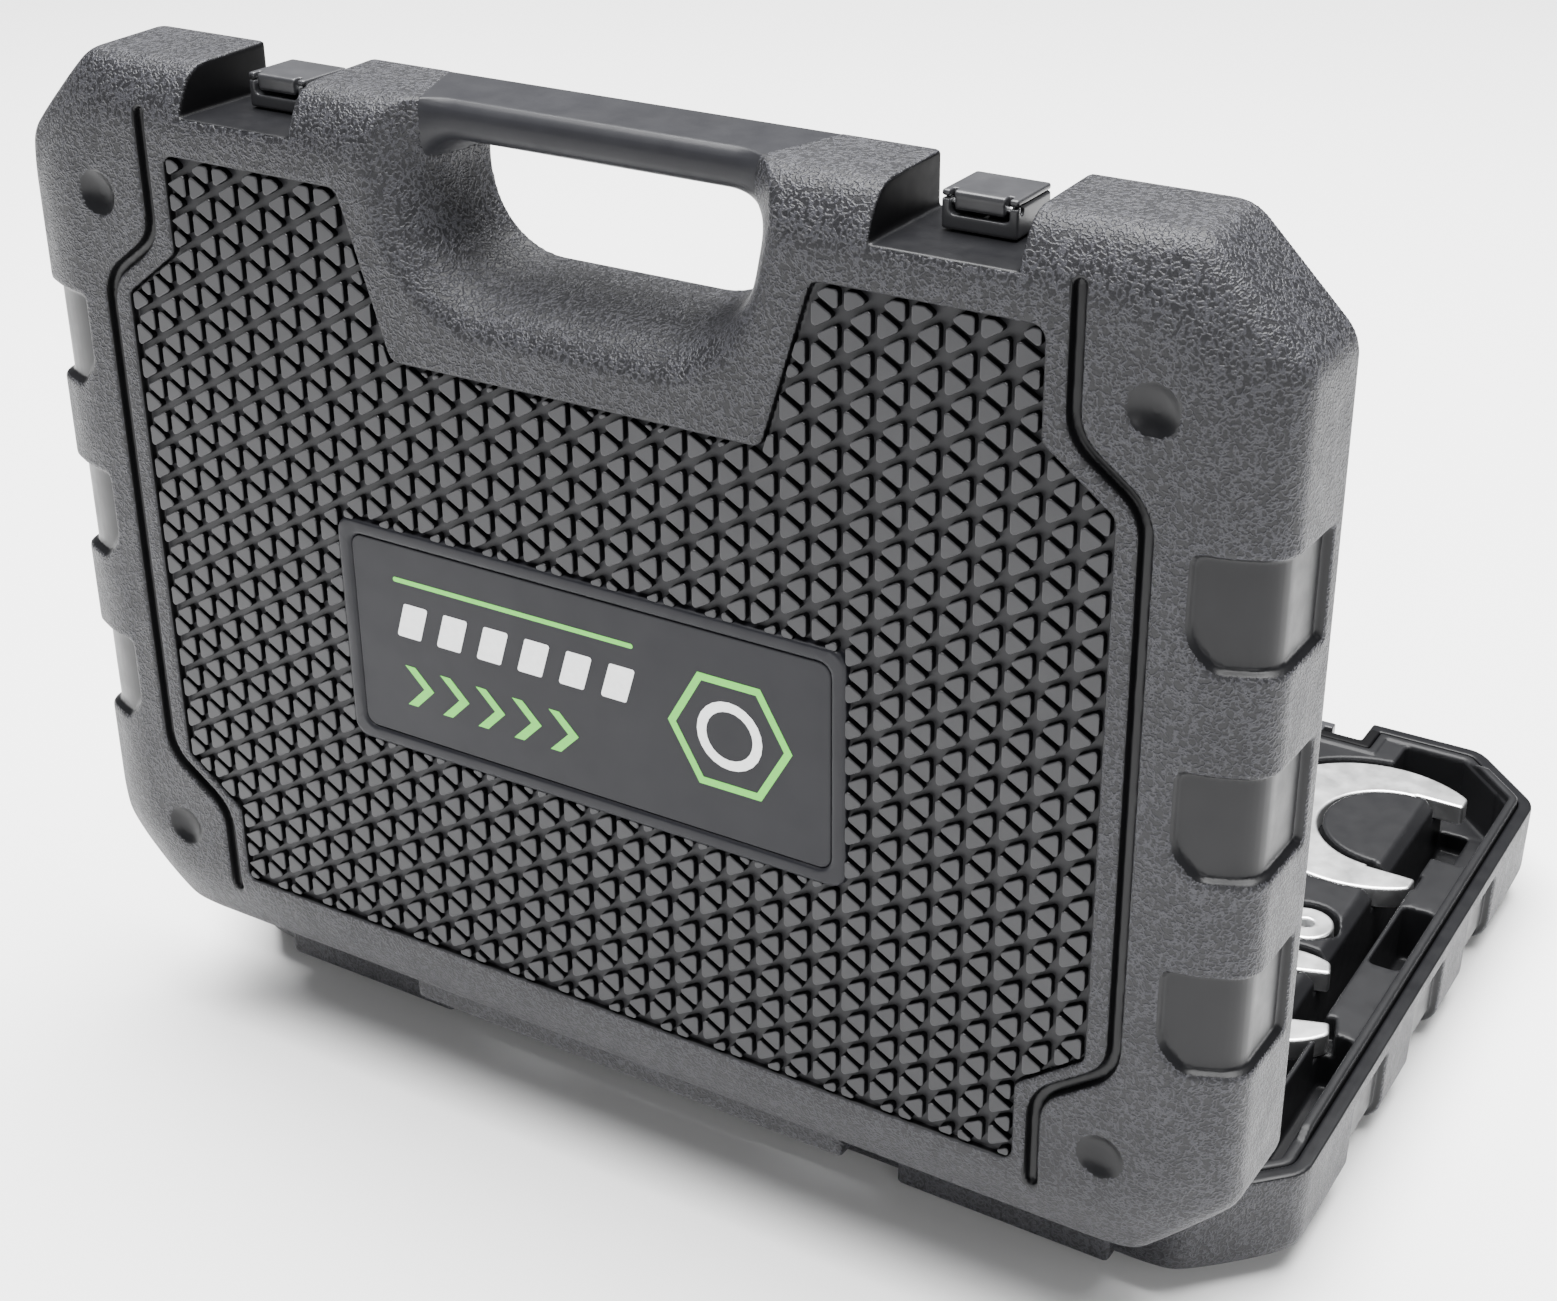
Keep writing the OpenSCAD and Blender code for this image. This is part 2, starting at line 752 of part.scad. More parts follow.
module lid_liner() color([0.14, 0.14, 0.15]) on_lid() {
    intersection() {
        skirt(liner_z, skirt_d);
        skin_room();
    }
    skin_block(liner_z, liner_z + skin);
    // spacers that carry the inner skin on the outer one
    for (x = [-spacer_x, spacer_x], y = [-hl + spacer_hinge, hl - spacer_front])
        translate([x, y, liner_z + skin - eps]) cylinder(h = floor_z - liner_z - skin + eps, r = spacer_r);
    // ribs that hold the wrenches down when the case is shut
    for (x = [-1.5, -0.5, 0.5, 1.5] * hold_pitch)
        box(x - hold_t / 2, x + hold_t / 2, -hl + hold_hinge, hl - hold_front, hold_gap - tool_z, liner_z + eps);
}

// rail that the latch slides on: a stem with a wider head
module rail(z0, z1) {
    y = recess_floor;
    step = y + rail_lip + rail_play;
    box(-rail_stem_w / 2, rail_stem_w / 2, y, step, z0, z1);
    box(-rail_w / 2, rail_w / 2, step - eps, step + rail_head, z0, z1);
}

module latch_guide() color([0.22, 0.22, 0.24]) translate([latch_x, 0, 0]) rail(rim_z, guide_l);

module keeper() color([0.22, 0.22, 0.24]) translate([latch_x, 0, 0]) {
    y = recess_floor;
    rail(rim_z, keeper_l);
    box(-rail_w / 2, rail_w / 2, y, y + rail_lip + rail_play + rail_head, keeper_l - eps, keeper_l + keeper_stop);
}

// sliding box of the latch, with a window for the finger tab in its closed end
module latch_slider() color([0.24, 0.24, 0.26]) translate([latch_x, recess_floor, 0]) {
    inner = rail_w / 2 + rail_play;
    stem = rail_stem_w / 2 + rail_play;
    end = latch_l - slider_end;
    window = tab_w / 2 + tab_gap;
    difference() {
        box(-latch_w / 2, latch_w / 2, slider_base, slider_top, rim_z, latch_l);
        box(-inner, inner, rail_lip, channel_top, -big, end);
        box(-stem, stem, -big, rail_lip + eps, -big, end);
        box(-window, window, slider_top - tab_h - tab_gap, big, end - 1.6, big);
        // room for the end of the cover as it lifts
        box(-latch_w, latch_w, slider_top - relief_d, big, relief_z, big);
        cross_pin(big, cover_pin_r + pin_play);
    }
}

// cover plate of the latch, with its finger tab curled down over the closed end
module latch_cover() color([0.26, 0.26, 0.28]) translate([latch_x, recess_floor, 0]) {
    difference() {
        union() {
            box(-latch_w / 2, latch_w / 2, cover_y, cover_y + cover_t, rim_z, latch_l - 1);
            box(-tab_w / 2, tab_w / 2, slider_top - tab_h, cover_y + cover_t, latch_l - tab_depth, latch_l);
        }
        cross_pin(big, cover_pin_r + pin_play);
    }
}

module cross_pin(l, r) {
    translate([-l / 2, cover_pin_y, cover_pin_z]) rotate([0, 90, 0]) cylinder(h = l, r = r);
}

module latch_pin() color([0.7, 0.7, 0.72]) translate([latch_x, recess_floor, 0])
    cross_pin(latch_w - 1, cover_pin_r);

module hinge_pin() color([0.7, 0.7, 0.72]) on_base() axis_rod(pin_x0, pin_x1, pin_r);

base_shell();
base_tray();
base_handle();
lid_shell();
lid_liner();
lid_handle();
label_panel();
mirror([1, 0, 0]) hinge_pin();  // hinge_pin_left
hinge_pin();  // hinge_pin_right
mirror([1, 0, 0]) on_lid() latch_guide();  // latch_guide_left
on_lid() latch_guide();  // latch_guide_right
mirror([1, 0, 0]) on_lid() latch_slider();  // latch_slider_left
on_lid() latch_slider();  // latch_slider_right
mirror([1, 0, 0]) on_lid() latch_cover();  // latch_cover_left
on_lid() latch_cover();  // latch_cover_right
mirror([1, 0, 0]) on_lid() latch_pin();  // latch_pin_left
on_lid() latch_pin();  // latch_pin_right
mirror([1, 0, 0]) on_base() keeper();  // keeper_left
on_base() keeper();  // keeper_right
wrench_large();
wrench_medium();
wrench_small();
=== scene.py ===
"""Looks of the hard tool case: soft-edged mouldings, raised pattern, label, latches and tools.

Each piece is formed in millimetres in the coordinates of a flat half, with the parting plane
at z = 0, the outer face at z = 38 and the handle at +y. It is then laid down as part of the
base or raised as part of the open lid, in the frame's metres.
"""

import sys
import json
import logging
import math
from dataclasses import dataclass
from enum import Enum
from itertools import product
from typing import Iterable, Mapping, Sequence

import bpy
import numpy as np
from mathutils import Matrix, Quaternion, Vector


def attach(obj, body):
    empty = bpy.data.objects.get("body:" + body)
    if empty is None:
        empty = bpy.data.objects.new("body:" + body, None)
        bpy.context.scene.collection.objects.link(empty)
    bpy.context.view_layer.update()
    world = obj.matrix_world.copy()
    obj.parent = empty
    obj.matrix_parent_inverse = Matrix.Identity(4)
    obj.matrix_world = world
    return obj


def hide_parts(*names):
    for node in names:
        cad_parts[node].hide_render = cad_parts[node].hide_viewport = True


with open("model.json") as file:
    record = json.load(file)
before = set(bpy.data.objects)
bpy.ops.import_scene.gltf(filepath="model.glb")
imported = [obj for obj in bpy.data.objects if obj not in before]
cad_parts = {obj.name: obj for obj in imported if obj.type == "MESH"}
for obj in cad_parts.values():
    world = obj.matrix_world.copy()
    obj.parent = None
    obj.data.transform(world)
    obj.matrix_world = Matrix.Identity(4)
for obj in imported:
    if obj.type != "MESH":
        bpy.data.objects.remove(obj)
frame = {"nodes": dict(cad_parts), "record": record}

log = logging.getLogger("tool_case")

Array = np.ndarray
Flat = tuple[float, float]
Triple = tuple[float, float, float]
Socket = bpy.types.NodeSocket
Value = Socket | float | Sequence[float]

MM = 0.001
HALF_DEPTH = 38.0
HINGE_BACK = 147.0


class Place(Enum):
    """Where a flat-drawn half goes in the open case."""

    BASE = "base"
    LID = "lid"

    def world(self, points: Array) -> Array:
        """Moves points of a flat half to their place.

        Args:
            points: Rows of x, y and z in millimetres.

        Returns:
            The rows in metres in the frame.
        """
        x, y, z = points[:, 0], points[:, 1], points[:, 2]
        if self is Place.BASE:
            return np.stack([x, y, HALF_DEPTH - z], axis=1) * MM
        return np.stack([x, -HINGE_BACK - z, HALF_DEPTH + HINGE_BACK + y], axis=1) * MM

    @property
    def flips(self) -> bool:
        """Whether the move turns a mesh inside out."""
        return self is Place.BASE


class Side(Enum):
    """The two sides of the case."""

    LEFT = -1
    RIGHT = 1

    @property
    def word(self) -> str:
        """Name of the side as the nodes have it."""
        return self.name.lower()


# ---------------------------------------------------------------- forms


def meet(a: Array, b: Array, soft: float = 0.0) -> Array:
    """Distance to what two forms share, with its edge rounded by soft.

    Args:
        a: Distances to the first form, negative inside.
        b: Distances to the second form.
        soft: Width over which the edge is rounded, in millimetres.

    Returns:
        The distances to the common form.
    """
    top = np.maximum(a, b)
    if soft > 0:
        near = np.maximum(soft - np.abs(a - b), 0)
        top = top + near * near / (4 * soft)
    return top


def join(a: Array, b: Array, soft: float = 0.0) -> Array:
    """Distance to two forms together, with the corner between them filled by soft."""
    return -meet(-a, -b, soft)


def cut(a: Array, b: Array, soft: float = 0.0) -> Array:
    """Distance to the first form with the second taken out of it."""
    return meet(a, -b, soft)


def slab(v: Array, low: float, high: float) -> Array:
    """Distance to the layer between two values of one coordinate."""
    return np.abs(v - (low + high) / 2) - (high - low) / 2


def plate(x: Array, y: Array, w: float, h: float, r: float) -> Array:
    """Distance in the plane to a rectangle with rounded corners.

    Args:
        x: Distance from its middle along its width.
        y: Distance from its middle along its height.
        w: Its width.
        h: Its height.
        r: Radius of its corners.

    Returns:
        The distances, negative inside.
    """
    dx, dy = np.abs(x) - w / 2 + r, np.abs(y) - h / 2 + r
    return np.minimum(np.maximum(dx, dy), 0) + np.hypot(np.maximum(dx, 0), np.maximum(dy, 0)) - r


def polygon(x: Array, y: Array, points: Sequence[Flat]) -> Array:
    """Distance in the plane to a closed outline.

    Args:
        x: First coordinate of the samples.
        y: Second coordinate of the samples.
        points: Corners of the outline in order.

    Returns:
        The distances, negative inside.
    """
    away = line_distance(x, y, [*points, points[0]])
    inside = np.zeros(away.shape, bool)
    for (ax, ay), (bx, by) in zip(points, [*points[1:], points[0]]):
        if ay != by:
            inside ^= ((ay > y) != (by > y)) & (x < (bx - ax) * (y - ay) / (by - ay) + ax)
    return np.where(inside, -1, 1) * away


def line_distance(x: Array, y: Array, points: Sequence[Flat]) -> Array:
    """Distance in the plane to an open line of points."""
    best = np.full(np.broadcast(x, y).shape, 1e12, np.float32)
    for (ax, ay), (bx, by) in zip(points, points[1:]):
        ex, ey = bx - ax, by - ay
        wx, wy = x - ax, y - ay
        t = np.clip((wx * ex + wy * ey) / max(ex * ex + ey * ey, 1e-12), 0, 1)
        best = np.minimum(best, (wx - t * ex) ** 2 + (wy - t * ey) ** 2)
    return np.sqrt(best)


def rounded(points: Sequence[Flat], r: float | Sequence[float], steps: int = 5) -> list[Flat]:
    """Rounds the corners of an outline.

    Args:
        points: Its corners in order.
        r: Radius of the corners, or one radius for each.
        steps: Number of straight pieces in each corner.

    Returns:
        The corners of the rounded outline.
    """
    out: list[Flat] = []
    radii = [float(r)] * len(points) if isinstance(r, (int, float)) else list(r)
    for i, radius in enumerate(radii):
        b = np.array(points[i])
        u = np.array(points[i - 1]) - b
        v = np.array(points[(i + 1) % len(points)]) - b
        room = min(np.linalg.norm(u), np.linalg.norm(v)) / 2
        u, v = u / np.linalg.norm(u), v / np.linalg.norm(v)
        half = math.acos(max(-1.0, min(1.0, float(u @ v)))) / 2
        radius = min(radius, 0.98 * room * math.tan(half))
        mid = b + (u + v) / np.linalg.norm(u + v) * radius / math.sin(half)
        p = b + u * radius / math.tan(half) - mid
        q = b + v * radius / math.tan(half) - mid
        turn = 1 if p[0] * q[1] - p[1] * q[0] > 0 else -1
        for k in range(steps + 1):
            t = turn * k / steps * (math.pi - 2 * half)
            c, s = math.cos(t), math.sin(t)
            out.append((float(mid[0] + p[0] * c - p[1] * s), float(mid[1] + p[0] * s + p[1] * c)))
    return out


def mirrored(points: Sequence[Flat]) -> list[Flat]:
    """The other half of an outline, in the order that closes it."""
    return [(-x, y) for x, y in reversed(points)]


def area(points: Sequence[Flat]) -> float:
    """Area of an outline, above 0 where its points run anticlockwise."""
    return sum(p[0] * q[1] - q[0] * p[1] for p, q in zip(points, [*points[1:], *points[:1]])) / 2


def stack_up(levels: Sequence[tuple[float, Sequence[Flat]]], points: list, faces: list) -> None:
    """Adds a closed solid made of outlines one over the other.

    Args:
        levels: Height and outline of each level from low to high.
        points: List that its points are added to.
        faces: List that its faces are added to.
    """
    start, n = len(points), len(levels[0][1])
    for z, ring in levels:
        points.extend((float(x), float(y), z) for x, y in ring)
    for level in range(len(levels) - 1):
        for i in range(n):
            a, b = start + level * n + i, start + level * n + (i + 1) % n
            faces.append([a, b, b + n, a + n])
    last = start + (len(levels) - 1) * n
    faces.append([last + i for i in range(n)])
    faces.append([start + i for i in reversed(range(n))])


# ---------------------------------------------------------------- meshes


@dataclass
class Clay:
    """A block of evenly spaced samples from which a closed mesh is drawn.

    Attributes:
        low: Lowest corner of the block in millimetres.
        high: Highest corner of the block.
        step: Distance from sample to sample.
        halved: Whether only x >= 0 is worked out and the rest is its mirror image.
    """

    low: Triple
    high: Triple
    step: float
    halved: bool = False

    def __post_init__(self) -> None:
        """Lays out the samples."""
        axes = []
        for i in range(3):
            start = 0.0 if self.halved and i == 0 else self.low[i]
            count = int(math.ceil((self.high[i] - start) / self.step)) + 1
            axes.append((start + self.step * np.arange(count)).astype(np.float32))
        self.x = axes[0][:, None, None]
        self.y = axes[1][None, :, None]
        self.z = axes[2][None, None, :]

    def mesh(self, value: Array) -> tuple[Array, Array]:
        """Draws the surface where the distances change sign.

        Args:
            value: Distances at the samples, negative inside.

        Returns:
            Rows of points in millimetres, and rows of four point numbers.
        """
        value = np.broadcast_to(value, (self.x.size, self.y.size, self.z.size)).astype(np.float32)
        origin = np.array([self.x.flat[0], self.y.flat[0], self.z.flat[0]], np.float64)
        if self.halved:
            value = np.concatenate([value[:0:-1], value])
            origin[0] = -float(self.x.flat[-1])
        value = np.pad(value, 1, constant_values=self.step)
        origin -= self.step
        inside = value < 0
        total = np.zeros(tuple(n - 1 for n in value.shape), np.int8)
        nx, ny, nz = total.shape
        for i, j, k in product((0, 1), repeat=3):
            total += inside[i : i + nx, j : j + ny, k : k + nz]
        cells = np.argwhere((total > 0) & (total < 8))
        number = np.full(total.shape, -1, np.int32)
        number[tuple(cells.T)] = np.arange(len(cells))
        points = self._points(value, cells)
        faces = self._faces(inside, number)
        return origin + points * self.step, faces

    @staticmethod
    def _points(value: Array, cells: Array) -> Array:
        """Places one point in each cell that the surface passes."""
        summed = np.zeros((len(cells), 3))
        count = np.zeros(len(cells))
        corners = {corner: value[tuple((cells + corner).T)] for corner in product((0, 1), repeat=3)}
        for a, va in corners.items():
            for axis in range(3):
                if a[axis]:
                    continue
                b = tuple(v + (n == axis) for n, v in enumerate(a))
                vb = corners[b]
                passes = (va < 0) != (vb < 0)
                t = np.where(passes, va / np.where(passes, va - vb, 1), 0)
                for n in range(3):
                    summed[:, n] += np.where(passes, a[n] + (t if n == axis else 0), 0)
                count += passes
        local = summed / count[:, None]
        for _ in range(2):
            local = Clay._pulled(corners, local)
        return cells + local

    @staticmethod
    def _pulled(corners: dict, local: Array) -> Array:
        """Pulls each point onto the surface inside its cell."""
        u, v, w = local.T
        c = corners
        x00 = c[0, 0, 0] * (1 - u) + c[1, 0, 0] * u
        x10 = c[0, 1, 0] * (1 - u) + c[1, 1, 0] * u
        x01 = c[0, 0, 1] * (1 - u) + c[1, 0, 1] * u
        x11 = c[0, 1, 1] * (1 - u) + c[1, 1, 1] * u
        y0, y1 = x00 * (1 - v) + x10 * v, x01 * (1 - v) + x11 * v
        here = y0 * (1 - w) + y1 * w
        gz = y1 - y0
        gy = (x10 - x00) * (1 - w) + (x11 - x01) * w
        gx = ((c[1, 0, 0] - c[0, 0, 0]) * (1 - v) + (c[1, 1, 0] - c[0, 1, 0]) * v) * (1 - w)
        gx = gx + ((c[1, 0, 1] - c[0, 0, 1]) * (1 - v) + (c[1, 1, 1] - c[0, 1, 1]) * v) * w
        slope = np.stack([gx, gy, gz], axis=1)
        size = np.maximum((slope**2).sum(axis=1), 1e-6)
        return np.clip(local - slope * (here / size)[:, None], 0.02, 0.98)

    @staticmethod
    def _faces(inside: Array, number: Array) -> Array:
        """Joins the cells round each sample-to-sample step that the surface passes."""
        rows = []
        for a in range(3):
            b, c = (a + 1) % 3, (a + 2) % 3
            low = [slice(1, -1)] * 3
            high = [slice(1, -1)] * 3
            low[a], high[a] = slice(0, -1), slice(1, None)
            first, second = inside[tuple(low)], inside[tuple(high)]
            spots = np.argwhere(first != second)
            outward = first[tuple(spots.T)]
            for n in (b, c):
                spots[:, n] += 1
            ring = []
            for db, dc in ((-1, -1), (0, -1), (0, 0), (-1, 0)):
                cell = spots.copy()
                cell[:, b] += db
                cell[:, c] += dc
                ring.append(number[tuple(cell.T)])
            quads = np.stack(ring, axis=1)
            quads[~outward] = quads[~outward][:, ::-1]
            rows.append(quads)
        return np.concatenate(rows)


@dataclass
class Spots:
    """Middles and directions of a piece's faces in the coordinates of its half.

    Attributes:
        x: Their places across the case.
        y: Their places along it.
        z: Their heights over the parting plane.
        nx: Part of each face's direction across the case.
        nz: Part away from the parting plane.
    """

    x: Array
    y: Array
    z: Array
    nx: Array
    nz: Array

    @classmethod
    def on(cls, piece: bpy.types.Object, place: Place) -> "Spots":
        """Reads the faces of a piece."""
        count = len(piece.data.polygons)
        c, n = np.empty(count * 3, np.float32), np.empty(count * 3, np.float32)
        piece.data.polygons.foreach_get("center", c)
        piece.data.polygons.foreach_get("normal", n)
        c, n = c.reshape(-1, 3) / MM, n.reshape(-1, 3)
        if place is Place.BASE:
            return cls(c[:, 0], c[:, 1], HALF_DEPTH - c[:, 2], n[:, 0], -n[:, 2])
        return cls(c[:, 0], c[:, 2] - (HALF_DEPTH + HINGE_BACK), -HINGE_BACK - c[:, 1], n[:, 0], -n[:, 1])


def paint(piece: bpy.types.Object, slots: Sequence[bpy.types.Material], index: Array) -> None:
    """Gives each face of a piece one of several materials.

    Args:
        piece: The piece.
        slots: Its materials.
        index: Number of the material for each face.
    """
    piece.data.materials.clear()
    for material in slots:
        piece.data.materials.append(material)
    piece.data.polygons.foreach_set("material_index", index.astype(np.int32))
    piece.data.update()


def make_piece(name: str, points: Array, faces: Iterable[Sequence[int]]) -> bpy.types.Object:
    """Makes an object from points in metres and faces.

    Args:
        name: Name of the object.
        points: Rows of x, y and z.
        faces: Point numbers of each face.

    Returns:
        The new object, linked to the scene.
    """
    mesh = bpy.data.meshes.new(name)
    if isinstance(faces, np.ndarray):
        sides = faces.shape[1]
        mesh.vertices.add(len(points))
        mesh.vertices.foreach_set("co", np.asarray(points, np.float32).ravel())
        mesh.loops.add(faces.size)
        mesh.loops.foreach_set("vertex_index", faces.astype(np.int32).ravel())
        mesh.polygons.add(len(faces))
        mesh.polygons.foreach_set("loop_start", np.arange(0, faces.size, sides, dtype=np.int32))
        mesh.update(calc_edges=True)
    else:
        mesh.from_pydata([tuple(p) for p in points], [], [tuple(f) for f in faces])
    mesh.validate()
    piece = bpy.data.objects.new(name, mesh)
    bpy.context.scene.collection.objects.link(piece)
    return piece


def settled(piece: bpy.types.Object) -> None:
    """Applies a piece's modifiers to its mesh."""
    graph = bpy.context.evaluated_depsgraph_get()
    mesh = bpy.data.meshes.new_from_object(piece.evaluated_get(graph))
    piece.modifiers.clear()
    old, piece.data = piece.data, mesh
    mesh.name = piece.name
    bpy.data.meshes.remove(old)


@dataclass(frozen=True)
class Moulding:
    """How a mesh drawn from clay is thinned and shaded.

    Attributes:
        keep: Share of its triangles that is kept.
    """

    keep: float = 0.2

    def piece(
        self, name: str, clay: Clay, value: Array, place: Place, side: Side = Side.RIGHT
    ) -> bpy.types.Object:
        """Makes the object of a form.

        Args:
            name: Name of the object.
            clay: Samples on which the form was worked out.
            value: Its distances at the samples.
            place: Half that it belongs to.
            side: Side that it is mirrored to.

        Returns:
            The object, in its place in the frame.
        """
        points, faces = clay.mesh(value)
        if side is Side.LEFT:
            points = points * np.array([-1.0, 1.0, 1.0])
        if place.flips != (side is Side.LEFT):
            faces = faces[:, ::-1]
        piece = make_piece(name, place.world(points), faces)
        if self.keep < 1:
            thin = piece.modifiers.new("thin", "DECIMATE")
            thin.ratio = self.keep
            thin.use_collapse_triangulate = True
            settled(piece)
        piece.data.shade_smooth()
        weigh = piece.modifiers.new("weigh", "WEIGHTED_NORMAL")
        weigh.mode = "FACE_AREA"
        weigh.weight = 50
        settled(piece)
        return piece


# ---------------------------------------------------------------- finishes


class Nodes:
    """Short calls for making a material's node tree."""

    def __init__(self, name: str) -> None:
        """Makes an empty material of that name."""
        self.material = bpy.data.materials.new(name)
        self.material.use_nodes = True
        self.tree = self.material.node_tree
        self.tree.nodes.clear()
        self.shader = self.add("ShaderNodeBsdfPrincipled", {})
        self.add("ShaderNodeOutputMaterial", {"Surface": self.shader.outputs[0]})
        self.spot = self.add("ShaderNodeTexCoord", {}).outputs["Object"]

    def add(self, kind: str, values: Mapping[str | int, Value], **options: str) -> bpy.types.Node:
        """Adds a node, sets its options and fills its sockets."""
        node = self.tree.nodes.new(kind)
        for key, option in options.items():
            setattr(node, key, option)
        self.fill(node, values)
        return node

    def fill(self, node: bpy.types.Node, values: Mapping[str | int, Value]) -> None:
        """Gives sockets of a node a number, a colour or the output of another node."""
        for key, value in values.items():
            if isinstance(value, Socket):
                self.tree.links.new(value, node.inputs[key])
            else:
                node.inputs[key].default_value = value

    def done(self, values: Mapping[str | int, Value]) -> bpy.types.Material:
        """Fills the shader's sockets and gives the finished material."""
        self.fill(self.shader, values)
        return self.material

    def noise(
        self, size: float, detail: float = 2.0, rough: float = 0.5, stretch: Triple = (1.0, 1.0, 1.0)
    ) -> Socket:
        """Adds a soft noise.

        Args:
            size: Size of its spots in millimetres.
            detail: Number of finer layers.
            rough: Strength of the finer layers.
            stretch: How much denser it is along each axis.

        Returns:
            The socket that gives it.
        """
        move = self.add("ShaderNodeMapping", {"Vector": self.spot, "Scale": stretch})
        values = {"Vector": move.outputs[0], "Scale": 1 / MM / size, "Detail": detail, "Roughness": rough}
        return self.add("ShaderNodeTexNoise", values).outputs["Fac"]

    def folds(self, size: float) -> Socket:
        """Adds the short winding folds of leather, of a size in millimetres."""
        narrow = 9.0
        away = self.math("ABSOLUTE", self.math("SUBTRACT", self.noise(size, 1.5), 0.5))
        crest = self.math("SUBTRACT", 1.0, self.math("MULTIPLY", away, narrow))
        return self.math("MAXIMUM", crest, 0.0)

    def ramp(self, value: Socket, stops: Sequence[tuple[float, Triple]]) -> Socket:
        """Turns a value into colours.

        Args:
            value: Socket that gives the value.
            stops: Places and colours of the stops.

        Returns:
            The socket that gives the colour.
        """
        node = self.add("ShaderNodeValToRGB", {"Fac": value})
        band = node.color_ramp
        for n, (where, colour) in enumerate(stops):
            stop = band.elements[n] if n < 2 else band.elements.new(where)
            stop.position = where
            stop.color = (*colour, 1.0)
        return node.outputs["Color"]

    def span(self, value: Socket, low: float, high: float) -> Socket:
        """Spreads a value of 0.3 to 0.7 between two limits."""
        values = {"Value": value, "From Min": 0.3, "From Max": 0.7, "To Min": low, "To Max": high}
        return self.add("ShaderNodeMapRange", values).outputs["Result"]

    def math(self, operation: str, *values: Socket | float) -> Socket:
        """Works on one or more values."""
        return self.add("ShaderNodeMath", dict(enumerate(values)), operation=operation).outputs[0]

    def times(self, a: Socket, b: Socket) -> Socket:
        """Multiplies two colours."""
        first, second, result = 6, 7, 2
        values = {"Factor": 1.0, first: a, second: b}
        return self.add("ShaderNodeMix", values, data_type="RGBA", blend_type="MULTIPLY").outputs[result]

    def bump(
        self, height: Socket, depth: float, strength: float = 1.0, under: Socket | None = None
    ) -> Socket:
        """Adds a fine relief.

        Args:
            height: Socket that gives its height from 0 to 1.
            depth: Its depth in millimetres.
            strength: How strongly it shows.
            under: Relief that it lies on.

        Returns:
            The socket that gives the surface's direction.
        """
        values = {"Strength": strength, "Distance": depth * MM, "Height": height}
        if under is not None:
            values["Normal"] = under
        return self.add("ShaderNodeBump", values).outputs["Normal"]


def shade(colour: Triple, factor: float) -> Triple:
    """A colour made lighter or darker by a factor."""
    return (colour[0] * factor, colour[1] * factor, colour[2] * factor)


@dataclass(frozen=True)
class MouldedFinish:
    """Moulded plastic, from grained and matt to smooth and satin.

    Attributes:
        name: Name of the material.
        colour: Its colour.
        rough: Its mean roughness.
        polish: Strength of its highlights.
        grain: Size of the leather grain in millimetres, or 0 where it is smooth.
        grain_depth: Depth of the grain in millimetres.
        cloud: How much the colour varies.
    """

    name: str
    colour: Triple
    rough: float
    polish: float
    grain: float = 0.0
    grain_depth: float = 0.2
    cloud: float = 0.12

    def material(self) -> bpy.types.Material:
        """Makes the material with its grain, clouding and rubbed spots, and on the grain a painted highlight
        on its crests and painted shade in its hollows.
        """
        n = Nodes(self.name)
        patches = n.noise(38.0, 3.0, 0.55)
        fine = n.noise(0.55, 2.0, 0.6)
        tone = n.math("MULTIPLY_ADD", patches, 0.65, n.math("MULTIPLY", fine, 0.35))
        dark, light = shade(self.colour, 1 - self.cloud), shade(self.colour, 1 + self.cloud)
        colour = n.ramp(tone, ((0.32, dark), (0.5, self.colour), (0.68, light)))
        rub = n.span(n.noise(9.0, 4.0, 0.62), self.rough - 0.05, self.rough + 0.06)
        if self.grain > 0:
            relief = n.math("ADD", n.folds(self.grain), n.math("MULTIPLY", fine, 0.5))
            direction = n.bump(relief, self.grain_depth)
            # crests of the grain up to twice as light and hollows darker: painted highlight and painted shade
            glint_and_hollow_shade = ((0.2, (0.6,) * 3), (0.6, (0.95,) * 3), (1.0, (2.0,) * 3))
            colour = n.times(colour, n.ramp(relief, glint_and_hollow_shade))
        else:
            flow = n.noise(1.6, 2.0, 0.5, (1.0, 1.0, 0.25))
            direction = n.bump(flow, 0.012, 0.5)
            direction = n.bump(fine, 0.006, 0.4, direction)
        looks = {"Base Color": colour, "Roughness": rub, "Specular IOR Level": self.polish}
        return n.done({**looks, "Normal": direction})


@dataclass(frozen=True)
class SteelFinish:
    """Plated or drawn steel with a fine brushed grain.

    Attributes:
        name: Name of the material.
        colour: Its colour.
        rough: Its mean roughness.
        brush: Direction of the brushing, as how much denser it is along each axis.
    """

    name: str
    colour: Triple
    rough: float
    brush: Triple = (0.06, 1.0, 1.0)

    def material(self) -> bpy.types.Material:
        """Makes the material with its brushing and smears."""
        n = Nodes(self.name)
        smear = n.noise(14.0, 4.0, 0.6)
        lines = n.noise(0.35, 3.0, 0.6, self.brush)
        dark, light = shade(self.colour, 0.9), shade(self.colour, 1.04)
        colour = n.ramp(smear, ((0.3, dark), (0.7, light)))
        rub = n.span(smear, self.rough - 0.05, self.rough + 0.07)
        looks = {"Base Color": colour, "Roughness": rub, "Metallic": 1.0}
        return n.done({**looks, "Normal": n.bump(lines, 0.01, 0.5)})


@dataclass(frozen=True)
class InkFinish:
    """Printed ink, thin and slightly uneven.

    Attributes:
        name: Name of the material.
        colour: Its colour.
        rough: Its mean roughness.
    """

    name: str
    colour: Triple
    rough: float = 0.42

    def material(self) -> bpy.types.Material:
        """Makes the material with its mottled cover."""
        n = Nodes(self.name)
        spots = n.noise(2.4, 4.0, 0.6)
        colour = n.ramp(spots, ((0.3, shade(self.colour, 0.93)), (0.7, shade(self.colour, 1.04))))
        rub = n.span(spots, self.rough - 0.04, self.rough + 0.05)
        return n.done({"Base Color": colour, "Roughness": rub, "Normal": n.bump(n.noise(0.6), 0.01, 0.4)})


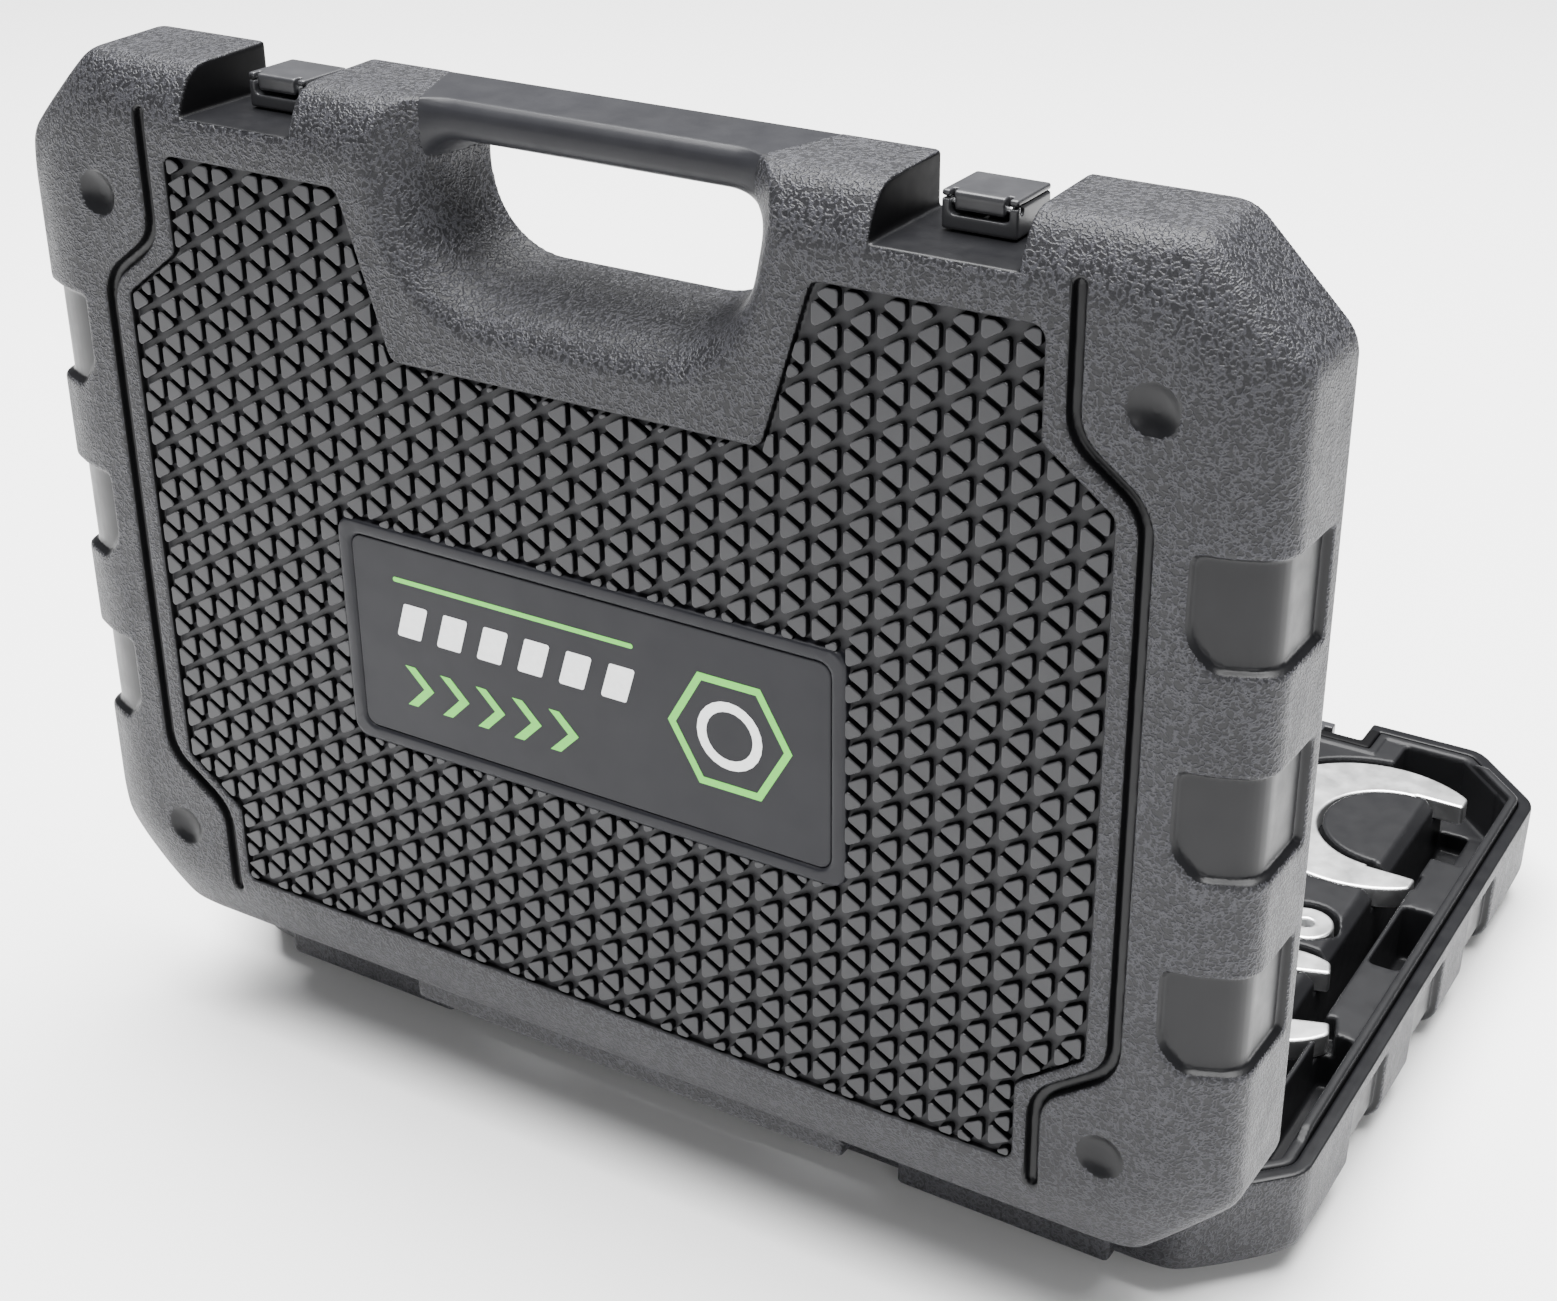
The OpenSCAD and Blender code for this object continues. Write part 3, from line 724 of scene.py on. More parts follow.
class Palette:
    """The finishes of the case, made once and shared by its pieces."""

    def __init__(self) -> None:
        """Makes the materials."""
        self.grained = self._plastic("grained_shell", (0.0152, 0.0153, 0.0178), 0.46, 0.25, grain=1.6)
        self.smooth = self._plastic("smooth_plastic", (0.0056, 0.0057, 0.0066), 0.34, 0.19)
        self.bar = self._plastic("bar_plastic", (0.0132, 0.0134, 0.0156), 0.42, 0.2)
        # a darker copy of the plastic for the field floor between the triangles and a lighter copy for their
        # tops: painted shade and painted light
        self.island = self._plastic("pattern_floor_painted_shade", (0.0138, 0.0139, 0.0157), 0.48, 0.2)
        self.lit_pattern_top = self._plastic("pattern_top_painted_light", (0.0202, 0.0204, 0.0226), 0.4, 0.28)
        # near-black plastic laid where shade falls: painted shade in the hollows and on the walls of grooves,
        # field, latch recesses and raised triangles
        self.deep = self._plastic("painted_shade_black", (0.002, 0.002, 0.0024), 0.55, 0.08)
        self.latch = self._plastic("latch_plastic", (0.026, 0.0263, 0.0288), 0.34, 0.4)
        self.inner = self._plastic("inner_plastic", (0.0075, 0.0076, 0.0085), 0.44, 0.2)
        self.label = self._plastic("label_plastic", (0.0092, 0.0094, 0.0118), 0.42, 0.16, cloud=0.08)
        self.green = InkFinish("green_ink", (0.085, 0.52, 0.03)).material()
        self.white = InkFinish("white_ink", (0.80, 0.81, 0.81)).material()
        self.chrome = SteelFinish("satin_chrome", (0.94, 0.945, 0.95), 0.34).material()
        self.rod = SteelFinish("drawn_rod", (0.56, 0.57, 0.58), 0.3, (1.0, 0.06, 1.0)).material()

    @staticmethod
    def _plastic(
        name: str, colour: Triple, rough: float, polish: float, **more: float
    ) -> bpy.types.Material:
        """Makes one plastic from its name, colour, roughness and polish."""
        return MouldedFinish(name, colour, rough, polish, **more).material()


def dressed(piece: bpy.types.Object, material: bpy.types.Material) -> None:
    """Gives a piece one material."""
    if piece.data.materials:
        for n in range(len(piece.data.materials)):
            piece.data.materials[n] = material
    else:
        piece.data.materials.append(material)


def fixed(
    piece: bpy.types.Object, body: str, replaced: Sequence[str] = (),
    material: bpy.types.Material | None = None,
) -> None:
    """Hands a piece to the frame.

    Args:
        piece: The piece.
        body: Body that it rides on.
        replaced: Nodes that it stands for.
        material: Its finish, where it isn't painted already.
    """
    if material:
        dressed(piece, material)
    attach(piece, body)
    if replaced:
        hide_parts(*replaced)
    log.info("%s: %d faces on %s", piece.name, len(piece.data.polygons), body)


# ---------------------------------------------------------------- shells


@dataclass(frozen=True)
class Field:
    """Sunk field of the outer face: a wide middle, narrower ends and a notch under the handle.

    Attributes:
        wide: Half of its width in the middle.
        narrow: Half of its width at its ends.
        front: Reach of its front end.
        back: Reach of its hinge end.
        wide_front: Reach of its wide part to the front.
        wide_back: Reach of its wide part to the hinge.
        slope: Length of the slanted steps from wide to narrow.
        notch_mouth: Half of the notch's width at the front end.
        notch_end: Half of its width at its closed end.
        notch_floor: Place of its closed end.
    """

    wide: float = 158.0
    narrow: float = 138.0
    front: float = 120.0
    back: float = 121.0
    wide_front: float = 76.0
    wide_back: float = 80.0
    slope: float = 15.0
    notch_mouth: float = 75.0
    notch_end: float = 60.0
    notch_floor: float = 73.0

    def outline(self) -> list[Flat]:
        """Its outline with rounded corners."""
        right = [(self.narrow, -self.back), (self.narrow, -self.wide_back - self.slope),
                 (self.wide, -self.wide_back), (self.wide, self.wide_front),
                 (self.narrow, self.wide_front + self.slope), (self.narrow, self.front),
                 (self.notch_mouth, self.front), (self.notch_end, self.notch_floor)]
        return rounded([*right, *mirrored(right)], 3.5, 4)

    def parts(self, gap: float) -> tuple[list[Triple], list[Triple]]:
        """Its narrow and its wide part, drawn in by a gap, as lines a x + b y = c."""
        run, slope = self.wide - self.narrow, self.slope
        size = math.hypot(slope, run)
        tall = [(1, 0, self.narrow - gap), (-1, 0, self.narrow - gap), (0, 1, self.front - gap),
                (0, -1, self.back - gap)]
        wide = [(1, 0, self.wide - gap), (-1, 0, self.wide - gap), (0, 1, self.wide_front + slope),
                (0, -1, self.wide_back + slope)]
        for up, reach in ((1, self.wide_front), (-1, self.wide_back)):
            limit = (self.wide * slope + reach * run) / size - gap
            wide += [(s * slope / size, up * run / size, limit) for s in (1, -1)]
        return tall, wide

    def beside_notch(self, gap: float) -> list[list[Triple]]:
        """The places behind and on each side of the notch, as lines a x + b y = c."""
        rise, run = self.front - self.notch_floor, self.notch_mouth - self.notch_end
        size = math.hypot(rise, run)
        limit = (self.notch_floor * run - self.notch_end * rise) / size - gap
        sides = [[(-s * rise / size, run / size, limit)] for s in (1, -1)]
        return [[(0, 1, self.notch_floor - gap)], *sides]


@dataclass
class HalfForm:
    """Outer form of a half of the case, with its handle gap and latch recesses.

    Attributes:
        hw: Half of the case's width.
        hl: Half of its length.
        depth: Depth of the half.
        corner_cut: Size of the cut across each corner.
        corner_r: Rounding of the outline's corners.
        draft: How far the walls lean in.
        bevel: Depth of the bevel.
        bevel_side: Width of the bevel at the sides.
        bevel_front: Width of the bevel at the front.
        bevel_hinge: Width of the bevel at the hinge.
        bevel_corner: Width of the bevel across the corners.
        rim: Height of the rim over the parting plane.
        gap_top: Width of the handle gap at the front wall.
        gap_end: Width of the handle gap at its closed end.
        gap_reach: Reach of the handle gap.
        gap_r: Rounding of the handle gap's corners.
        latch_x: Distance of each latch from the middle.
        recess_w: Width of a latch recess.
        recess_floor: Place of the latch recess's floor.
        chamfer: Chamfer along the top of a latch recess.
    """

    hw: float = 201.0
    hl: float = 146.0
    depth: float = 38.0
    corner_cut: float = 28.0
    corner_r: float = 12.0
    draft: float = 0.9
    bevel: float = 7.2
    bevel_side: float = 17.0
    bevel_front: float = 13.5
    bevel_hinge: float = 19.5
    bevel_corner: float = 16.0
    rim: float = 0.15
    gap_top: float = 114.0
    gap_end: float = 94.0
    gap_reach: float = 49.4
    gap_r: float = 25.0
    latch_x: float = 110.5
    recess_w: float = 40.0
    recess_floor: float = 131.7
    chamfer: float = 3.0

    def plan(self, clay: Clay) -> Array:
        """Distance in the plane to the half's outline."""
        c = self.corner_cut
        right = [(self.hw, -self.hl + c), (self.hw, self.hl - c), (self.hw - c, self.hl)]
        points = [(self.hw - c, -self.hl), *right, *mirrored(right), (-self.hw + c, -self.hl)]
        return polygon(clay.x, clay.y, rounded(points, self.corner_r, 8))

    def _bevel(self, reach: Array, wall: float, width: float, clay: Clay) -> Array:
        """Distance to one slanting side of the bevel."""
        run = width - self.draft
        size = math.hypot(run, self.bevel)
        return ((reach - wall + self.draft) * self.bevel + (clay.z - self.depth + self.bevel) * run) / size

    def outer(self, clay: Clay) -> Array:
        """Distance to the outer form, with soft edges."""
        x, y, z = np.abs(clay.x), clay.y, clay.z
        wall = self.plan(clay) + self.draft * z / (self.depth - self.bevel)
        across = (self.hw + self.hl - self.corner_cut) / math.sqrt(2)
        slant = self._bevel(x, self.hw, self.bevel_side, clay)
        slant = meet(slant, self._bevel(y, self.hl, self.bevel_front, clay), 4.5)
        slant = meet(slant, self._bevel(-y, self.hl, self.bevel_hinge, clay), 4.5)
        slant = meet(slant, self._bevel((x + np.abs(y)) / math.sqrt(2), across, self.bevel_corner, clay), 4.5)
        form = meet(wall, slant, 5.5)
        return meet(form, z - self.depth, 3.2)

    def gap(self, clay: Clay) -> Array:
        """Distance in the plane to the handle's finger gap."""
        over = 20.0
        lean = (self.gap_top - self.gap_end) / 2 / self.gap_reach
        top = (self.gap_top / 2 + lean * over, self.hl + over)
        end = (self.gap_end / 2, self.hl - self.gap_reach)
        points = [top, end, (-end[0], end[1]), (-top[0], top[1])]
        return polygon(clay.x, clay.y, rounded(points, (0.5, self.gap_r, self.gap_r, 0.5), 10))

    def recess(self, clay: Clay, grow: float = 0.0) -> Array:
        """Distance in the plane to a latch recess with its chamfered mouth."""
        x = np.abs(np.abs(clay.x) - self.latch_x)
        mouth = self.hl - self.chamfer
        side = np.maximum(x - self.recess_w / 2, (x - self.recess_w / 2 - (clay.y - mouth)) / math.sqrt(2))
        side = np.minimum(x - self.recess_w / 2, side)
        return meet(side, self.recess_floor - clay.y, 0.8) - grow


@dataclass
class Shell(HalfForm):
    """Moulded shell of a half: walls, field, grooves, dimples, grips, dish and hinge.

    Attributes:
        rim_w: Width of the flat rim.
        face_wall: Wall of the outer face.
        bevel_wall: Wall under the bevel.
        field_depth: Depth of the field under the pattern.
        groove_w: Width of the S-shaped grooves.
        groove_d: Depth of the grooves.
        dimple_w: Width of the dimples.
        dimple_d: Depth of the dimples.
        dimples: Places of the dimples on the right side.
        grip_l: Length of a finger grip.
        grip_pitch: Distance from grip to grip.
        grip_d: Depth of the grips.
        grip_rim: Rim left below the grips.
        grip_reach: Reach of the grips.
        grip_shift: Place of the middle grip.
        grip_slant: Length of the slanted corner of a grip.
        dish_from: Depth at which the dish round the gap starts.
        dish_w: Reach of the dish.
        gap_lean: How much narrower the gap is at the rim.
        label_w: Width of the label's raised frame.
        label_h: Height of the label's raised frame.
        label_y: Place of the label.
        label_r: Rounding of the frame's corners.
        label_edge: Width of the frame's edge.
        knuckle_r: Radius of the hinge knuckles.
        knuckle_play: Room round a knuckle.
        base_knuckle: Both ends of the base's knuckle on each side.
        lid_knuckle: Both ends of the lid's knuckle on each side.
        pin_r: Radius of the hole for the hinge pin.
        bar_h: Height of the handle's bar.
        bar_t: Thickness of the bar in one half.
        bar_r: Rounding of the bar's outer edge.
        swell: Reach of the flare at the bar's ends.
        step: Distance from sample to sample.
    """

    rim_w: float = 5.0
    face_wall: float = 4.0
    bevel_wall: float = 4.6
    field_depth: float = 2.5
    groove_w: float = 4.0
    groove_d: float = 3.1
    dimple_w: float = 14.0
    dimple_d: float = 2.5
    dimples: tuple[Flat, ...] = ((166.0, 105.0), (164.0, -109.0))
    grip_l: float = 31.0
    grip_pitch: float = 58.0
    grip_d: float = 2.5
    grip_rim: float = 5.5
    grip_reach: float = 24.0
    grip_shift: float = -1.5
    grip_slant: float = 7.0
    dish_from: float = 12.0
    dish_w: float = 14.0
    gap_lean: float = 2.0
    label_w: float = 171.0
    label_h: float = 72.5
    label_y: float = -15.2
    label_r: float = 5.0
    label_edge: float = 4.5
    knuckle_r: float = 4.2
    knuckle_play: float = 0.3
    base_knuckle: Flat = (85.0, 105.0)
    lid_knuckle: Flat = (59.0, 79.0)
    pin_r: float = 1.6
    bar_h: float = 12.0
    bar_t: float = 25.0
    bar_r: float = 9.0
    swell: float = 14.0
    step: float = 0.8

    def groove_line(self) -> list[Flat]:
        """Course of a groove on the outer face, with its bends rounded."""
        line = [(146.0, 131.0), (146.0, 94.0), (166.0, 79.0), (166.0, -81.0), (144.0, -97.0),
                (144.0, -126.0)]
        sharp, bend, steps = 0.01, 14.0, 5
        bends = rounded([*line, (80.0, 0.0)], (sharp, bend, bend, bend, bend, sharp, sharp), steps)
        return [line[0], *bends[steps + 1 : 5 * (steps + 1)], line[-1]]

    def grip_along(self, y: Array) -> Array:
        """Distance along the case from the middle of the nearest finger grip."""
        along = y - self.grip_shift
        return along - np.clip(np.round(along / self.grip_pitch), -1, 1) * self.grip_pitch

    def grips(self, clay: Clay, outer: Array) -> Array:
        """Distance to the finger grips sunk into the sides."""
        along = self.grip_along(clay.y)
        deep = np.clip(-outer, 0, self.grip_d)
        ends = np.abs(along) - self.grip_l / 2 + 0.55 * deep
        reach = self.hw - self.grip_reach - np.abs(clay.x) + 0.5 * deep
        slant = (reach - along - self.grip_l / 2 + 0.55 * deep + self.grip_slant) / math.sqrt(2)
        region = meet(meet(ends, slant, 1.5), reach, 3.0)
        region = meet(region, self.grip_rim - clay.z + 0.3 * deep, 1.5)
        return meet(region, -(outer + self.grip_d))

    def marks(self, clay: Clay, form: Array) -> Array:
        """Cuts the field, the grooves and the dimples into the outer face."""
        x, y, z = np.abs(clay.x), clay.y, clay.z
        label = plate(clay.x, y - self.label_y, self.label_w, self.label_h, self.label_r)
        field = cut(polygon(clay.x, y, Field().outline()), label)
        low = self.depth - self.field_depth
        form = cut(form, meet(field, low - z), 0.5)
        groove = line_distance(x, y, self.groove_line()) - self.groove_w / 2
        form = cut(form, meet(groove - 0.22 * (z - self.depth), self.depth - self.groove_d - z), 0.5)
        ball = (self.dimple_w**2 / 4 + self.dimple_d**2) / (2 * self.dimple_d)
        for px, py in self.dimples:
            away = np.sqrt((x - px) ** 2 + (y - py) ** 2 + (z - self.depth + self.dimple_d - ball) ** 2)
            form = cut(form, away - ball, 0.25)
        return form

    def flare(self, clay: Clay | Spots) -> Array:
        """How much wider the handle gap is at each height."""
        t = np.clip((clay.z - self.dish_from) / (self.depth + 0.4 - self.dish_from), 0, 1)
        dish = self.dish_w * (1 - np.sqrt(np.maximum(1 - t**2, 0)))
        return dish - self.gap_lean * np.clip(1 - clay.z / 21.0, 0, 1)

    def inside(self, clay: Clay, outer: Array) -> Array:
        """Distance to the hollow of the shell."""
        hollow = meet(self.plan(clay) + self.rim_w, outer + self.bevel_wall)
        hollow = meet(hollow, clay.z - (self.depth - self.face_wall))
        hollow = cut(hollow, self.recess(clay, self.bevel_wall))
        flare = np.clip((clay.z - self.dish_from + 3) * 0.9, 0, self.dish_w + 3)
        return cut(hollow, self.gap(clay) - self.rim_w - flare)

    def body(self, clay: Clay) -> Array:
        """Distance to the shell before its hinge."""
        outer = self.outer(clay)
        grips = self.grips(clay, outer)
        form = cut(outer, grips, 0.9)
        form = self.marks(clay, form)
        form = cut(form, self.gap(clay) - self.flare(clay), 1.4)
        form = cut(form, self.recess(clay), 0.8)
        form = cut(form, self.inside(clay, outer))
        form = meet(join(form, self.bar(clay), self.swell), outer)
        return meet(form, self.rim - clay.z, 0.8)

    def bar(self, clay: Clay) -> Array:
        """Distance to the plain bar of the handle."""
        low, high = self.hl - self.bar_h, self.hl
        corners = rounded([(low, -4.0), (high, -4.0), (high, self.bar_t), (low, self.bar_t)],
                          (0.1, 0.1, self.bar_r, 4.5), 6)
        return meet(polygon(clay.y, clay.z, corners), self.gap(clay) - 9.0)

    def held(self, clay: Clay) -> Array:
        """Distance to the room of the smooth part of the bar."""
        return meet(self.bar(clay) - 5.0, np.abs(clay.x) - 62.0 + 0.35 * clay.z)

    def block(self, clay: Clay, x0: float, x1: float) -> Array:
        """Distance to a hinge block on the hinge wall."""
        x = clay.x if x0 < 0 else np.abs(clay.x)
        wide = meet(slab(x, x0, x1), slab(clay.y, -self.hl - 6.2, -self.hl + 3.0), 1.6)
        return meet(wide, slab(clay.z, self.rim, 28.0), 1.6)

    def rod(self, clay: Clay, ends: Flat, r: float, over: float = 0.0) -> Array:
        """Distance to a rod on the hinge axis at both sides, longer by over at each end."""
        across = np.hypot(clay.y + HINGE_BACK, clay.z) - r
        return meet(slab(np.abs(clay.x), ends[0] - over, ends[1] + over), across, 0.3)

    def base(self, clay: Clay) -> Array:
        """Distance to the shell of the base."""
        form = join(self.body(clay), self.block(clay, self.base_knuckle[0], 155.0), 0.8)
        form = join(form, self.rod(clay, self.base_knuckle, self.knuckle_r))
        rib = meet(slab(clay.x, -50.0, 50.0), slab(clay.y, 0.05 - HINGE_BACK, 1.0 - self.hl))
        form = join(form, meet(rib, slab(clay.z, self.rim, self.knuckle_r)))
        play = self.knuckle_play
        form = cut(form, self.rod(clay, self.lid_knuckle, self.knuckle_r + play, play))
        return cut(form, self.rod(clay, self.base_knuckle, self.pin_r, 1.0))

    def lid(self, clay: Clay) -> Array:
        """Distance to the shell of the lid."""
        form = join(self.body(clay), self.block(clay, -self.lid_knuckle[1], self.lid_knuckle[1]), 0.8)
        form = join(form, self.rod(clay, self.lid_knuckle, self.knuckle_r))
        play = self.knuckle_play
        form = cut(form, self.rod(clay, self.base_knuckle, self.knuckle_r + play, play))
        form = cut(form, self.rod(clay, self.lid_knuckle, self.pin_r, 1.0))
        w, h = self.label_w - 2 * self.label_edge, self.label_h - 2 * self.label_edge
        seat = plate(clay.x, clay.y - self.label_y, w, h, 4.0)
        return cut(form, meet(seat, self.depth - 1.5 - clay.z), 0.7)

    def build(self, place: Place, palette: Palette) -> None:
        """Makes the shell of one half."""
        low, high = (-self.hw - 1, -self.hl - 8, -6.0), (self.hw + 1.5, self.hl + 1.5, self.depth + 1.5)
        clay = Clay(low, high, self.step, halved=True)
        value = cut(self.base(clay) if place is Place.BASE else self.lid(clay), self.held(clay))
        piece = Moulding(0.22).piece(f"{place.value}_moulding", clay, value, place)
        self.finish(piece, place, palette)
        fixed(piece, place.value, [f"{place.value}_shell"])

    def finish(self, piece: bpy.types.Object, place: Place, palette: Palette) -> None:
        """Paints the smooth places of the grained shell, and paints shade: a darker grey on the field floor
        and near black on the hollow inside and on the walls of grooves, field and latch recesses.

        Args:
            piece: The shell.
            place: Half that it belongs to.
            palette: The finishes.
        """
        spots = Spots.on(piece, place)
        x, y, z = np.abs(spots.x), spots.y, spots.z
        outer = self.outer(spots)
        sunk, face = outer < -0.6, z > self.depth - 4
        grip = (np.abs(self.grip_along(y)) < self.grip_l / 2 + 0.4) & (x > self.hw - self.grip_reach - 0.4)
        grip &= (z > self.grip_rim - 0.5) & sunk
        recess = (self.recess(spots) < 0.3) & (y > self.recess_floor - 1.7)
        groove = line_distance(x, y, self.groove_line()) < self.groove_w / 2 + 0.6
        groove &= (z < self.depth - 0.3) & face
        field = (polygon(x, y, Field().outline()) < 0.5) & (z > self.depth - 3.5)
        away = np.minimum(*(np.hypot(x - px, y - py) for px, py in self.dimples))
        dimple = (away < self.dimple_w / 2 - 0.2) & face
        hollow = (outer < -3.5) & (self.gap(spots) - self.flare(spots) > 1.0) & ~recess
        hollow &= z < self.depth - 2.8
        steep, sideways = spots.nz < 0.6, np.abs(spots.nx) > 0.5
        index = np.zeros(len(x), np.int32)
        index[grip | dimple | groove | recess & (z < self.depth - 0.8)] = 1
        # The field floor between the raised triangles is a darker grey: painted shade.
        index[field] = 3
        # Near black on the hollow inside, on the steep walls of grooves and field and on the side walls of
        # the latch recesses: painted shade.
        index[hollow | (groove | field) & steep | recess & sideways & sunk] = 2
        index[(z < 0.7) & (outer > -5.4) & (y > 3 - self.hl)] = 1
        if place is Place.LID:
            w, h = self.label_w + 0.6, self.label_h + 0.6
            label = plate(spots.x, y - self.label_y, w, h, self.label_r) < 0
            index[label & (z > self.depth - 2.6)] = 4
        paint(piece, (palette.grained, palette.smooth, palette.deep, palette.island, palette.label), index)


# ---------------------------------------------------------------- pattern


@dataclass
class Pattern:
    """Raised triangles that fill the sunk field of a half.

    Attributes:
        pitch_x: Distance between the lattice's upright lines.
        pitch_y: Distance between its crossings along a line.
        start_y: Place of one crossing on the middle line.
        inset: Half of the channel between two triangles.
        border: Gap between the triangles and the field's edge.
        corner_r: Rounding of their corners.
        floor: Height at which they stand.
        top: Height of their flat tops.
        edge: Width of the bevel round their tops.
        least: Area below which what is left of a triangle is dropped.
        columns: Numbers of the lattice's columns.
        rows: Numbers of its rows.
    """

    pitch_x: float = 9.28
    pitch_y: float = 10.8
    start_y: float = 106.5
    inset: float = 0.88
    border: float = 0.85
    corner_r: float = 0.95
    floor: float = 35.3
    top: float = 37.8
    edge: float = 0.3
    least: float = 2.5
    columns: range = range(-18, 18)
    rows: range = range(-44, 5)

    @staticmethod
    def _trimmed(points: list[Flat], a: float, b: float, c: float) -> list[Flat]:
        """Keeps the part of an outline where a x + b y <= c."""
        out: list[Flat] = []
        for p, q in zip(points, [*points[1:], points[0]]):
            dp, dq = a * p[0] + b * p[1] - c, a * q[0] + b * q[1] - c
            if dp <= 0:
                out.append(p)
            if (dp < 0) != (dq < 0) and dp != dq:
                t = dp / (dp - dq)
                out.append((p[0] + t * (q[0] - p[0]), p[1] + t * (q[1] - p[1])))
        return out

    def _largest(self, points: list[Flat], choices: Sequence[Sequence[Triple]]) -> list[Flat]:
        """Trims an outline by each set of lines and keeps the largest result."""
        best: list[Flat] = []
        for lines in choices:
            part = points
            for line in lines:
                part = self._trimmed(part, *line) if len(part) > 2 else []
            if abs(area(part)) > abs(area(best)):
                best = part
        return best

    def _in_field(self, points: list[Flat]) -> list[Flat]:
        """Trims a triangle to the field, clear of the handle's notch and the label."""
        field, shell, under = Field(), Shell(), 0.3
        part = self._largest(points, field.parts(self.border))
        part = self._largest(part, field.beside_notch(self.border))
        x, y = shell.label_w / 2 - under, shell.label_h / 2 - under
        low, high = shell.label_y - y, shell.label_y + y
        return self._largest(part, ([(-1, 0, -x)], [(1, 0, -x)], [(0, 1, low)], [(0, -1, -high)]))

    def _triangles(self) -> list[list[Flat]]:
        """The lattice's triangles, each drawn in by the inset."""
        out: list[list[Flat]] = []
        half = self.pitch_y / 2
        slope = math.hypot(self.pitch_x, half) / half * self.inset
        for column in self.columns:
            for row in self.rows:
                x0, y0 = column * self.pitch_x, self.start_y + row * half
                points_right = (column + row) % 2 == 1
                before, after = (self.inset, slope) if points_right else (slope, self.inset)
                left, right = x0 + before, x0 + self.pitch_x - after
                rise = half * (right - left) / self.pitch_x
                if points_right:
                    out.append([(left, y0 - rise), (right, y0), (left, y0 + rise)])
                else:
                    out.append([(right, y0 + rise), (left, y0), (right, y0 - rise)])
        return out

    def build(self, place: Place, palette: Palette) -> None:
        """Makes the raised triangles of one half."""
        points: list[Triple] = []
        faces: list[list[int]] = []
        for triangle in self._triangles():
            part = self._in_field(triangle)
            if abs(area(part)) >= self.least:
                stack_up(self._levels(part if area(part) > 0 else part[::-1]), points, faces)
        if place.flips:
            faces = [f[::-1] for f in faces]
        piece = make_piece(f"{place.value}_pattern", place.world(np.array(points)), faces)
        spots = Spots.on(piece, place)
        # the steep walls of the triangles are near black: painted shade
        paint(piece, (palette.lit_pattern_top, palette.deep), (spots.nz < 0.3).astype(np.int32))
        fixed(piece, place.value)

    def _levels(self, part: list[Flat]) -> list[tuple[float, Array]]:
        """Levels of one raised triangle with a bevelled top."""
        middle = np.mean(np.array(part), axis=0)
        shrink = self.edge / max(math.sqrt(area(part)) / 2.2, 0.6)
        ring = np.array(rounded(part, self.corner_r, 3))
        heights = ((self.floor, 0.0), (self.top - self.edge, 0.0), (self.top - 0.3 * self.edge, 0.3),
                   (self.top, 1.0))
        return [(z, ring * (1 - shrink * share) + middle * shrink * share) for z, share in heights]


# ---------------------------------------------------------------- handle


@dataclass
class Handle(Shell):
    """Smooth part of the handle's bar, which grows out of the grained shell.

    Attributes:
        under: How far it lies under the shell's skin where the two meet.
        lap: How far it reaches into the shell.
    """

    under: float = 0.1
    lap: float = 3.0

    def build(self, place: Place, palette: Palette) -> None:
        """Makes the bar of one half."""
        low, high = (-72.0, self.hl - 28.0, -1.0), (72.0, self.hl + 1.5, self.depth + 1.0)
        clay = Clay(low, high, 0.6)
        value = meet(self.body(clay) + self.under, self.held(clay) - self.lap)
        piece = Moulding(0.3).piece(f"{place.value}_bar", clay, value, place)
        fixed(piece, place.value, [f"{place.value}_handle"], palette.bar)


# ---------------------------------------------------------------- latches


